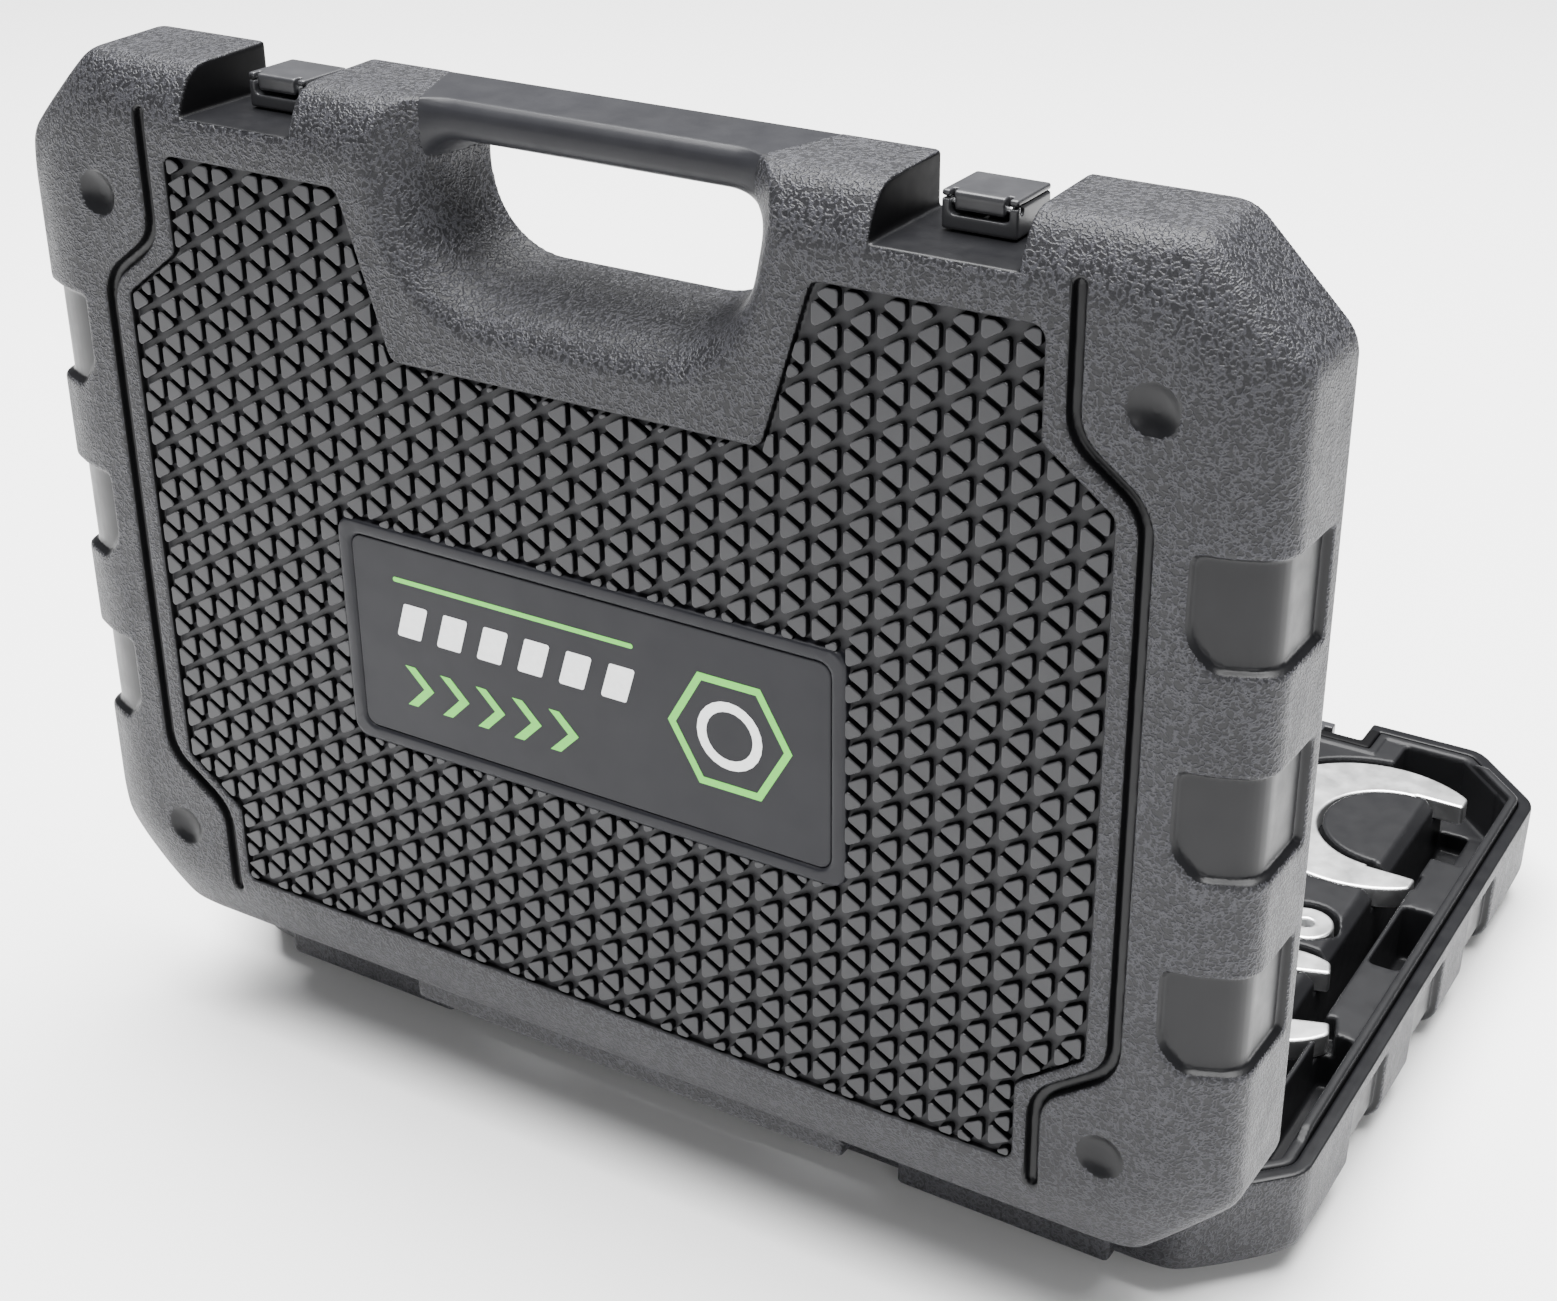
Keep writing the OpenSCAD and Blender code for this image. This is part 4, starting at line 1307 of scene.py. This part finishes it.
@dataclass
class Latch:
    """A sliding latch: rail, slider, lifting cover with its tab, and the keeper opposite.

    Attributes:
        x: Distance of the latch from the middle.
        floor: Place of the recess floor.
        width: Width of the slider and its cover.
        length: Length of the slider.
        top: Height of the slider over the recess floor.
        cover_t: Thickness of the cover.
        tab_w: Width of the finger tab.
        tab_h: Height of the tab below the slider's top.
        rail_w: Width of the rail's head.
        stem_w: Width of the rail's stem.
        play: Play between slider and rail.
        rail_end: End of the lid's rail.
        keeper_end: End of the keeper's rail.
        stop_t: Thickness of the stop behind the keeper's rail.
        head_low: Height of the underside of the rail's head over the recess floor.
        head_high: Height of its upper side.
        start: Gap at the parting plane.
        sunk: How far rail and keeper go into the recess floor.
        under: Gap under the slider.
        wall: Thickness of the slider's end wall.
        tab_gap: Gap beside the finger tab.
        pin_y: Height of the cover's pin over the recess floor.
        pin_z: Distance from the pin to the slider's end.
        pin_r: Radius of the pin's hole.
        step: Distance from sample to sample.
    """

    x: float = 110.5
    floor: float = 131.7
    width: float = 20.5
    length: float = 18.7
    top: float = 8.5
    cover_t: float = 1.7
    tab_w: float = 13.5
    tab_h: float = 2.9
    rail_w: float = 15.2
    stem_w: float = 9.2
    play: float = 0.25
    rail_end: float = 4.3
    keeper_end: float = 11.0
    stop_t: float = 3.0
    head_low: float = 2.85
    head_high: float = 6.85
    start: float = 0.15
    sunk: float = 0.2
    under: float = 0.5
    wall: float = 2.6
    tab_gap: float = 1.3
    pin_y: float = 7.2
    pin_z: float = 2.4
    pin_r: float = 0.85
    step: float = 0.3

    def _clay(self, low: float, high: float) -> Clay:
        """Samples round the latch from one height to another."""
        x0, x1 = self.x - self.width / 2 - 1, self.x + self.width / 2 + 1
        return Clay((x0, self.floor - 1, low), (x1, self.floor + 12.5, high), self.step)

    def _pin(self, clay: Clay) -> Array:
        """Distance to the hole for the cover's pin."""
        return np.hypot(clay.y - self.floor - self.pin_y, clay.z - self.length + self.pin_z) - self.pin_r

    def rail(self, clay: Clay, end: float) -> Array:
        """Distance to a rail: a stem with a wider head."""
        u, v = clay.x - self.x, clay.y - self.floor
        head = meet(slab(u, -self.rail_w / 2, self.rail_w / 2), slab(v, self.head_low, self.head_high), 0.7)
        stem_top = 3.5
        stem = meet(slab(u, -self.stem_w / 2, self.stem_w / 2), slab(v, -self.sunk, stem_top))
        return meet(join(head, stem, 0.4), slab(clay.z, self.start, end), 0.6)

    def keeper(self, clay: Clay) -> Array:
        """Distance to the keeper: a rail with a stop behind it."""
        u, v = clay.x - self.x, clay.y - self.floor
        stop = meet(slab(u, -self.rail_w / 2, self.rail_w / 2), slab(v, -self.sunk, self.head_high), 0.7)
        stop = meet(stop, slab(clay.z, self.keeper_end - 0.1, self.keeper_end + self.stop_t), 0.7)
        return join(self.rail(clay, self.keeper_end), stop)

    def slider(self, clay: Clay) -> Array:
        """Distance to the sliding box with its window."""
        u, v, z = clay.x - self.x, clay.y - self.floor, clay.z
        form = meet(slab(u, -self.width / 2, self.width / 2), slab(v, self.under, self.top), 0.9)
        form = meet(form, slab(z, self.start, self.length), 0.9)
        inner, stem = self.rail_w / 2 + self.play, self.stem_w / 2 + self.play
        low, high = self.head_low - self.play, self.head_high + self.play
        end, side = self.length - self.wall, self.tab_w / 2 + self.tab_gap
        sill, thin, relief_d, relief_l = 4.3, 1.6, 0.4, 1.9
        channel = meet(meet(slab(u, -inner, inner), slab(v, low, high)), z - end)
        slot = meet(meet(slab(u, -stem, stem), v - (low + 0.1)), z - end)
        window = meet(meet(slab(u, -side, side), sill - v, 1.6), end - thin - z)
        relief = meet(self.top - relief_d - v, self.length - relief_l - z)
        for hole in (channel, slot, window, relief, self._pin(clay)):
            form = cut(form, hole, 0.25)
        return form

    def cover(self, clay: Clay) -> Array:
        """Distance to the cover with its ears and the tab that curls over the end."""
        u, v, z = clay.x - self.x, clay.y - self.floor, clay.z
        low, high = self.top + self.start, self.top + self.start + self.cover_t
        flat = meet(slab(u, -self.width / 2, self.width / 2), slab(v, low, high), 0.8)
        flat = meet(flat, slab(z, self.start, self.length - 0.1), 0.8)
        tab_l, notch_l = 3.6, 2.8
        curl, end = self.top - self.tab_h, self.length - tab_l
        corners = [(curl, end), (high, end), (high, self.length), (curl, self.length)]
        side = rounded(corners, (0.6, 0.2, 1.7, 0.9))
        tab = meet(polygon(v, z, side), slab(u, -self.tab_w / 2, self.tab_w / 2), 0.9)
        form = join(flat, tab, 0.5)
        gap = slab(np.abs(u), self.tab_w / 2, self.tab_w / 2 + self.tab_gap)
        notch = meet(gap, self.length - notch_l - z)
        return cut(form, notch, 0.3)

    def build(self, palette: Palette) -> None:
        """Makes both latches and their keepers."""
        full, short = self._clay(-1.0, self.length + 1.5), self._clay(-1.0, 15.5)
        forms = (("rail", Place.LID, short, self.rail(short, self.rail_end), "lid", "latch_guide"),
                 ("strike", Place.BASE, short, self.keeper(short), "base", "keeper"),
                 ("box", Place.LID, full, self.slider(full), "latch", "latch_slider"),
                 ("flap", Place.LID, full, self.cover(full), "cover", "latch_cover"))
        for word, place, clay, value, body, node in forms:
            for side in Side:
                piece = Moulding(0.5).piece(f"latch_{word}_{side.word}", clay, value, place, side)
                on = body if body in ("lid", "base") else f"{body}_{side.word}"
                fixed(piece, on, [f"{node}_{side.word}"], palette.latch)


# ---------------------------------------------------------------- label


@dataclass
class Label:
    """Smooth plate in the lid's frame, printed with plain shapes.

    Attributes:
        w: Width of the plate.
        h: Height of the plate.
        y: Place of its middle.
        r: Rounding of its corners.
        low: Height of its seat.
        high: Height of its face.
        ink: Thickness of the print.
        left: Left end of the printed rows.
        badge: Middle of the printed hexagon and ring.
    """

    w: float = 161.6
    h: float = 63.1
    y: float = -15.2
    r: float = 3.8
    low: float = 36.5
    high: float = 37.5
    ink: float = 0.1
    left: float = -66.0
    badge: Flat = (49.0, 1.0)

    @staticmethod
    def stacked(name: str, outlines: Sequence[Sequence[tuple[float, list[Flat]]]]) -> bpy.types.Object:
        """Makes an object of closed plates.

        Args:
            name: Its name.
            outlines: For each plate, the heights and outlines of its levels from low to high.

        Returns:
            The object, in its place on the lid.
        """
        points: list[Triple] = []
        faces: list[list[int]] = []
        for levels in outlines:
            stack_up(levels, points, faces)
        return make_piece(name, Place.LID.world(np.array(points)), faces)

    def _plate(self) -> bpy.types.Object:
        """The plate with its softly rounded edge."""
        levels = []
        edge = ((self.high - 0.5, 0.0), (self.high - 0.22, 0.1), (self.high - 0.05, 0.32), (self.high, 0.7))
        for z, inset in ((self.low, 0.0), *edge):
            w, h = self.w / 2 - inset, self.h / 2 - inset
            ring = rounded([(w, -h), (w, h), (-w, h), (-w, -h)], self.r - inset * 0.6, 6)
            levels.append((z, [(x, y + self.y) for x, y in ring]))
        return self.stacked("label_plate", [levels])

    def _print(self, name: str, shapes: Sequence[list[Flat]]) -> bpy.types.Object:
        """A thin layer of ink in several closed shapes."""
        plates = []
        for shape in shapes:
            ring = [(x, y + self.y) for x, y in (shape if area(shape) > 0 else shape[::-1])]
            plates.append([(self.high - 0.02, ring), (self.high + self.ink, ring)])
        return self.stacked(name, plates)

    @staticmethod
    def _bar(x: float, y: float, w: float, h: float, lean: float = 0.0) -> list[Flat]:
        """A bar with its upper end moved over by lean."""
        return rounded([(x, y), (x + w, y), (x + w + lean, y + h), (x + lean, y + h)], 0.7, 3)

    @staticmethod
    def _chevron(x: float, y: float, w: float, h: float, t: float) -> list[Flat]:
        """An arrow head that points to the right."""
        low, high = y - h / 2, y + h / 2
        return [(x, low), (x + t, low), (x + w + t, y), (x + t, high), (x, high), (x + w, y)]

    @staticmethod
    def _ring(x: float, y: float, r: float, t: float, sides: int) -> list[list[Flat]]:
        """A regular ring in as many pieces as it has sides."""
        out = []
        for i in range(sides):
            a, b = math.tau * i / sides, math.tau * (i + 1) / sides
            ends = [(math.cos(v), math.sin(v)) for v in (a, b)]
            outer = [(x + c * r, y + s * r) for c, s in ends]
            inner = [(x + c * (r - t), y + s * (r - t)) for c, s in reversed(ends)]
            out.append([*outer, *inner])
        return out

    def build(self, palette: Palette) -> None:
        """Makes the plate and its print."""
        fixed(self._plate(), "lid", ["label_panel"], palette.label)
        arrows, arrow_pitch, bars, bar_pitch = 5, 13.0, 6, 14.5
        green = [self._chevron(self.left + 2 + arrow_pitch * i, -14.0, w=6.5, h=13.0, t=3.6)
                 for i in range(arrows)]
        green += [self._bar(self.left, 19.5, w=84.0, h=1.5)]
        green += self._ring(*self.badge, r=20.0, t=2.6, sides=6)
        white = [self._bar(self.left + bar_pitch * i, 2.0, w=8.6, h=11.0, lean=3.4) for i in range(bars)]
        white += self._ring(*self.badge, r=10.5, t=3.0, sides=24)
        for word, shapes, ink in (("green", green, palette.green), ("white", white, palette.white)):
            fixed(self._print(f"label_print_{word}", shapes), "lid", material=ink)


# ---------------------------------------------------------------- wrenches


@dataclass
class Wrench:
    """A flat open-end wrench.

    Attributes:
        name: Its node and body.
        x: Place of the middle of its head.
        y: Place of the middle of its head.
        jaw: Jaw opening.
        head_r: Radius of the head.
        throat: How far the bottom of the jaw is set forward.
        tip: Where the prongs are cut off.
        grip_w: Width of the handle at the head.
        tail_r: Radius of the tail.
        length: Distance from head to tail hole.
        turn: Direction of the jaw in degrees.
        run: Direction of the handle in degrees.
        hole_r: Radius of the tail hole.
        low: Depth of its upper face under the rim.
        thick: Its thickness.
    """

    name: str
    x: float
    y: float
    jaw: float
    head_r: float
    throat: float
    tip: float
    grip_w: float
    tail_r: float
    length: float
    turn: float
    run: float
    hole_r: float
    low: float = 1.8
    thick: float = 8.0

    def _turned(self, clay: Clay, angle: float) -> tuple[Array, Array]:
        """Coordinates about the head, turned by an angle."""
        c, s = math.cos(math.radians(angle)), math.sin(math.radians(angle))
        dx, dy = clay.x - self.x, clay.y - self.y
        return dx * c + dy * s, dy * c - dx * s

    def plan(self, clay: Clay, soft: float = 0.0) -> Array:
        """Distance in the plane to the wrench's outline."""
        a, b = self._turned(clay, self.run)
        root = (self.head_r + self.jaw / 2 - self.throat) / 2
        grip = polygon(a, b, [(root, -self.grip_w / 2), (self.length, 1 - self.tail_r),
                              (self.length, self.tail_r - 1), (root, self.grip_w / 2)])
        form = join(np.hypot(a, b) - self.head_r, grip, soft)
        form = join(form, np.hypot(a - self.length, b) - self.tail_r)
        c, d = self._turned(clay, self.turn)
        bottom = np.hypot(c - self.throat, d) - self.jaw / 2 + 1
        jaw = join(bottom, meet(np.abs(d) - self.jaw / 2, self.throat - c))
        form = cut(form, jaw, 0.8 if soft else 0.0)
        return meet(form, c - self.tip, 1.2 if soft else 0.0)

    def build(self, palette: Palette) -> None:
        """Makes the wrench with softened edges and a sunk panel in its handle."""
        head, reach, over = np.array([self.x, self.y]), self.head_r + 2, 1.5
        run = math.radians(self.run)
        tail = head + self.length * np.array([math.cos(run), math.sin(run)])
        low, high = np.minimum(head, tail) - reach, np.maximum(head, tail) + reach
        clay = Clay((*low.tolist(), self.low - over), (*high.tolist(), self.low + self.thick + over), 0.5)
        form = meet(self.plan(clay, 4.0), slab(clay.z, self.low, self.low + self.thick), 0.9)
        a, b = self._turned(clay, self.run)
        ends, share, sunk = 34, 0.42, 0.8
        middle, length = (self.head_r + self.length) / 2, self.length - self.head_r - ends
        panel = plate(a - middle, b, length, self.grip_w * share, 3.5)
        form = cut(form, meet(panel, clay.z - self.low - sunk), 0.6)
        form = cut(form, np.hypot(a - self.length, b) - self.hole_r, 0.5)
        piece = Moulding(0.2).piece(f"{self.name}_steel", clay, form, Place.BASE)
        fixed(piece, self.name, [self.name], palette.chrome)


def wrenches() -> list[Wrench]:
    """The three wrenches in the tray."""
    large = Wrench("wrench_large", x=152.0, y=77.7, jaw=55.0, head_r=43.2, throat=9.0, tip=26.5,
                   grip_w=31.0, tail_r=13.5, length=290.0, turn=0.0, run=184.0, hole_r=5.0)
    medium = Wrench("wrench_medium", x=160.6, y=-36.3, jaw=27.0, head_r=26.0, throat=5.0, tip=17.0,
                    grip_w=20.0, tail_r=9.0, length=250.0, turn=19.0, run=180.0, hole_r=3.5)
    small = Wrench("wrench_small", x=-139.0, y=5.8, jaw=24.0, head_r=24.0, throat=4.0, tip=16.0,
                   grip_w=18.0, tail_r=9.4, length=294.0, turn=165.0, run=0.0, hole_r=2.6)
    return [large, medium, small]


# ---------------------------------------------------------------- inner skins


@dataclass
class Skins(Shell):
    """The tray of the base and the ribbed inner skin of the lid.

    Attributes:
        play: Play between a skin and its shell.
        lip_w: Width of the raised lip.
        lip_h: Height of the lip over the rim.
        deck: Depth of the deck under the rim.
        deck_x: Edge of the deck.
        trough_x: Outer edge of the troughs.
        pocket: Depth of the side pockets.
        shallow: Depth of the shallow compartment.
        bed: Depth of the wrenches' recesses.
        tool_gap: Gap round each wrench.
        under: Depth of the tray's underside.
        corner_x: Inner edge of the corner pockets, where the lip ends.
        corner_y: Rear edge of the corner pockets.
        side_x: Outer edge of the side pockets.
        sides: Inner edge, rear and front of each side pocket.
        trough: Depth of the troughs.
        trough_y: Rear and front of the troughs.
        room_y: Middle of the shallow compartment.
        room_w: Its width.
        room_l: Its length from rear to front.
        liner_z: Depths of the lid's inner skin at its two sides.
        liner_deck: Depth of the inner skin within its lip.
        rib_x: Middles of the ribs.
        rib_y: Rear and front of the ribs.
        rib_t: Half of a rib's thickness.
    """

    play: float = 0.3
    lip_w: float = 3.3
    lip_h: float = 2.4
    deck: float = 0.8
    deck_x: float = 165.0
    trough_x: float = 179.0
    pocket: float = 22.0
    shallow: float = 16.0
    bed: float = 9.8
    tool_gap: float = 1.8
    under: float = 31.0
    corner_x: float = 147.0
    corner_y: float = 117.0
    side_x: float = 191.6
    sides: tuple[Triple, ...] = ((178.0, 65.0, 119.0), (180.8, -7.0, 31.0), (180.8, -119.0, -50.0))
    trough: float = 30.0
    trough_y: Flat = (-119.0, 118.0)
    room_y: float = -100.0
    room_w: float = 240.0
    room_l: float = 52.0
    liner_z: Flat = (9.0, 17.0)
    liner_deck: float = 11.4
    rib_x: Flat = (40.0, 120.0)
    rib_y: Flat = (-116.0, 74.0)
    rib_t: float = 3.0

    def skin(self, clay: Clay, inset: float) -> Array:
        """Distance in the plane to a skin drawn in from the walls."""
        grow = self.bevel_wall + inset - self.rim_w
        form = meet(self.plan(clay) + inset, -(self.recess(clay) - grow))
        return meet(form, -(self.gap(clay) - inset))

    def tray(self, clay: Clay) -> Array:
        """Distance to the tray with its pockets, troughs and tool recesses."""
        x, y, z = np.abs(clay.x), clay.y, clay.z
        edge = self.skin(clay, self.rim_w + self.play)
        body = meet(edge, slab(z, self.rim, self.under))
        body = meet(body, self.outer(clay) + self.bevel_wall + self.play)
        form = meet(body, np.minimum(-(edge + self.lip_w), self.deck - z))
        lip_rear, lip_front = -105.0, 135.0
        rise = np.clip(np.minimum((y - lip_rear) / 2, (lip_front - y) / 2), -1, self.lip_h)
        lip = meet(meet(edge, -(edge + self.lip_w)), slab(z, -self.lip_h, 2.0), 0.9)
        lip = meet(meet(lip, -rise - z, 0.5), self.corner_x - x)
        form = join(form, lip)
        inner = edge + self.lip_w + 0.8
        lean, ease, bank_end, wall_x = 0.875, 0.75, 4.8, 168.5
        slope = (x - self.deck_x - (z - self.deck) * lean) * ease
        slope = np.minimum(np.where(z > bank_end, x - wall_x, slope), x - self.deck_x)
        trough = meet(meet(-slope, x - self.trough_x, 0.4), slab(y, *self.trough_y), 1.5)
        form = cut(form, meet(trough, z - self.trough, 1.5), 0.9)
        pockets = [meet(slab(x, near, self.side_x), slab(y, *ends), 3.0) for near, *ends in self.sides]
        pockets.insert(1, meet(meet(self.corner_x - x, self.corner_y - y, 3.0), inner, 2.0))
        for pocket in pockets:
            form = cut(form, meet(meet(pocket, inner), z - self.pocket, 1.5), 0.8)
        room = plate(clay.x, y - self.room_y, self.room_w, self.room_l, 8.0)
        form = cut(form, meet(room, z - self.shallow, 2.0), 0.9)
        for wrench in wrenches():
            form = cut(form, meet(wrench.plan(clay) - self.tool_gap, z - self.bed, 0.6), 0.7)
        return form

    def liner(self, clay: Clay) -> Array:
        """Distance to the lid's inner skin with its ribs."""
        x, y, z = np.abs(clay.x), clay.y, clay.z
        edge = self.skin(clay, self.rim_w + self.play)
        form = meet(edge, slab(z, *self.liner_z), 0.8)
        form = meet(form, self.outer(clay) + self.bevel_wall + self.play)
        form = cut(form, meet(edge + self.lip_w, self.liner_deck - z))
        crest, root = 0.7, 9.5
        for middle in self.rib_x:
            rib = meet(slab(x, middle - self.rib_t, middle + self.rib_t), slab(y, *self.rib_y), 1.2)
            form = join(form, meet(rib, slab(z, crest, root), 1.2), 1.5)
        return form

    def build(self, palette: Palette) -> None:
        """Makes the tray and the lid's inner skin."""
        x, back, front = self.hw - 4.0, 4.0 - self.hl, self.hl - 3.5
        tray = Clay((-x, back, -4.0), (x, front, 33.0), self.step)
        liner = Clay((-x, back, -1.0), (x, front, 19.0), self.step, halved=True)
        for place, clay, form, node in ((Place.BASE, tray, self.tray, "base_tray"),
                                        (Place.LID, liner, self.liner, "lid_liner")):
            piece = Moulding().piece(f"{place.value}_inner", clay, form(clay), place)
            fixed(piece, place.value, [node], palette.inner)


# ---------------------------------------------------------------- studio


@dataclass
class Studio:
    """Pale floor, soft lights and the camera of the picture.

    Attributes:
        lens: Focal length for a sensor 36 mm wide.
        shift: Sideways and upward shift of the picture.
        eye: Place of the camera in metres.
        turn: Its rotation as a quaternion.
    """

    lens: float = 55.36
    shift: Flat = (-0.04175, -0.06247)
    eye: Triple = (0.358625, -0.657991, 0.493303)
    turn: tuple[float, float, float, float] = (0.815602, 0.516823, 0.137799, 0.220678)

    def floor(self) -> None:
        """Makes the pale floor."""
        n = Nodes("studio_floor")
        tone = n.ramp(n.noise(400.0), ((0.3, (0.86,) * 3), (0.7, (0.88,) * 3)))
        material = n.done({"Base Color": tone, "Roughness": 0.9})
        r = 12.0
        points = np.array([(-r, -r, 0.0), (r, -r, 0.0), (r, r, 0.0), (-r, r, 0.0)])
        floor = make_piece("studio_floor", points, [(0, 1, 2, 3)])
        dressed(floor, material)

    def lamp(self, name: str, place: Triple, aim: Triple, size: float, power: float) -> None:
        """Adds a soft lamp.

        Args:
            name: Its name.
            place: Where it hangs.
            aim: Point that it faces.
            size: Its width in metres.
            power: Its power in watts.
        """
        data = bpy.data.lights.new(name, "AREA")
        data.shape = "SQUARE"
        data.size = size
        data.energy = power
        lamp = bpy.data.objects.new(name, data)
        bpy.context.scene.collection.objects.link(lamp)
        lamp.location = place
        gaze = np.array(aim) - np.array(place)
        lamp.rotation_mode = "QUATERNION"
        lamp.rotation_quaternion = Vector(gaze).to_track_quat("-Z", "Y")

    def sky(self) -> None:
        """Makes the bright surroundings."""
        world = bpy.data.worlds.new("studio_sky")
        world.use_nodes = True
        back = world.node_tree.nodes["Background"]
        back.inputs["Color"].default_value = (1.0, 1.0, 1.0, 1.0)
        back.inputs["Strength"].default_value = 0.2
        bpy.context.scene.world = world

    def camera(self) -> None:
        """Makes the camera at the picture's viewing angle."""
        data = bpy.data.cameras.new("camera")
        data.sensor_width = 36.0
        data.sensor_fit = "HORIZONTAL"
        data.lens = self.lens
        data.shift_x, data.shift_y = self.shift
        data.clip_start, data.clip_end = 0.02, 50.0
        camera = bpy.data.objects.new("camera", data)
        bpy.context.scene.collection.objects.link(camera)
        camera.rotation_mode = "QUATERNION"
        camera.location = self.eye
        camera.rotation_quaternion = Quaternion(self.turn)
        bpy.context.scene.camera = camera

    def build(self) -> None:
        """Sets up the studio."""
        self.floor()
        self.sky()
        self.lamp("top_light", (-0.1, 0.15, 2.4), aim=(0.0, 0.0, 0.1), size=2.4, power=455.0)
        self.lamp("right_light", (2.4, 0.25, 0.5), aim=(0.2, 0.0, 0.2), size=1.2, power=12.0)
        self.lamp("front_light", (0.8, -1.1, 0.7), aim=(0.1, -0.15, 0.2), size=0.5, power=4.6)
        self.camera()


def dress_nodes(palette: Palette) -> None:
    """Gives every node that is still shown its finish."""
    finish = {"case": palette.grained, "inner_skin": palette.inner, "smooth": palette.smooth,
              "label": palette.label, "latch": palette.latch, "pin": palette.rod, "tool": palette.chrome}
    for part in frame["record"]["subparts"]:
        dressed(frame["nodes"][part["node"]], finish[part["material_slot"]])


def main() -> None:
    """Builds and dresses the case piece by piece."""
    logging.basicConfig(level=logging.INFO, format="%(name)s: %(message)s", stream=sys.stdout)
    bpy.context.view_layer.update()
    palette = Palette()
    dress_nodes(palette)
    for place in Place:
        Shell().build(place, palette)
        Pattern().build(place, palette)
        Handle().build(place, palette)
    Skins().build(palette)
    Latch().build(palette)
    Label().build(palette)
    for wrench in wrenches():
        wrench.build(palette)
    Studio().build()


if __name__ == "__main__":
    main()
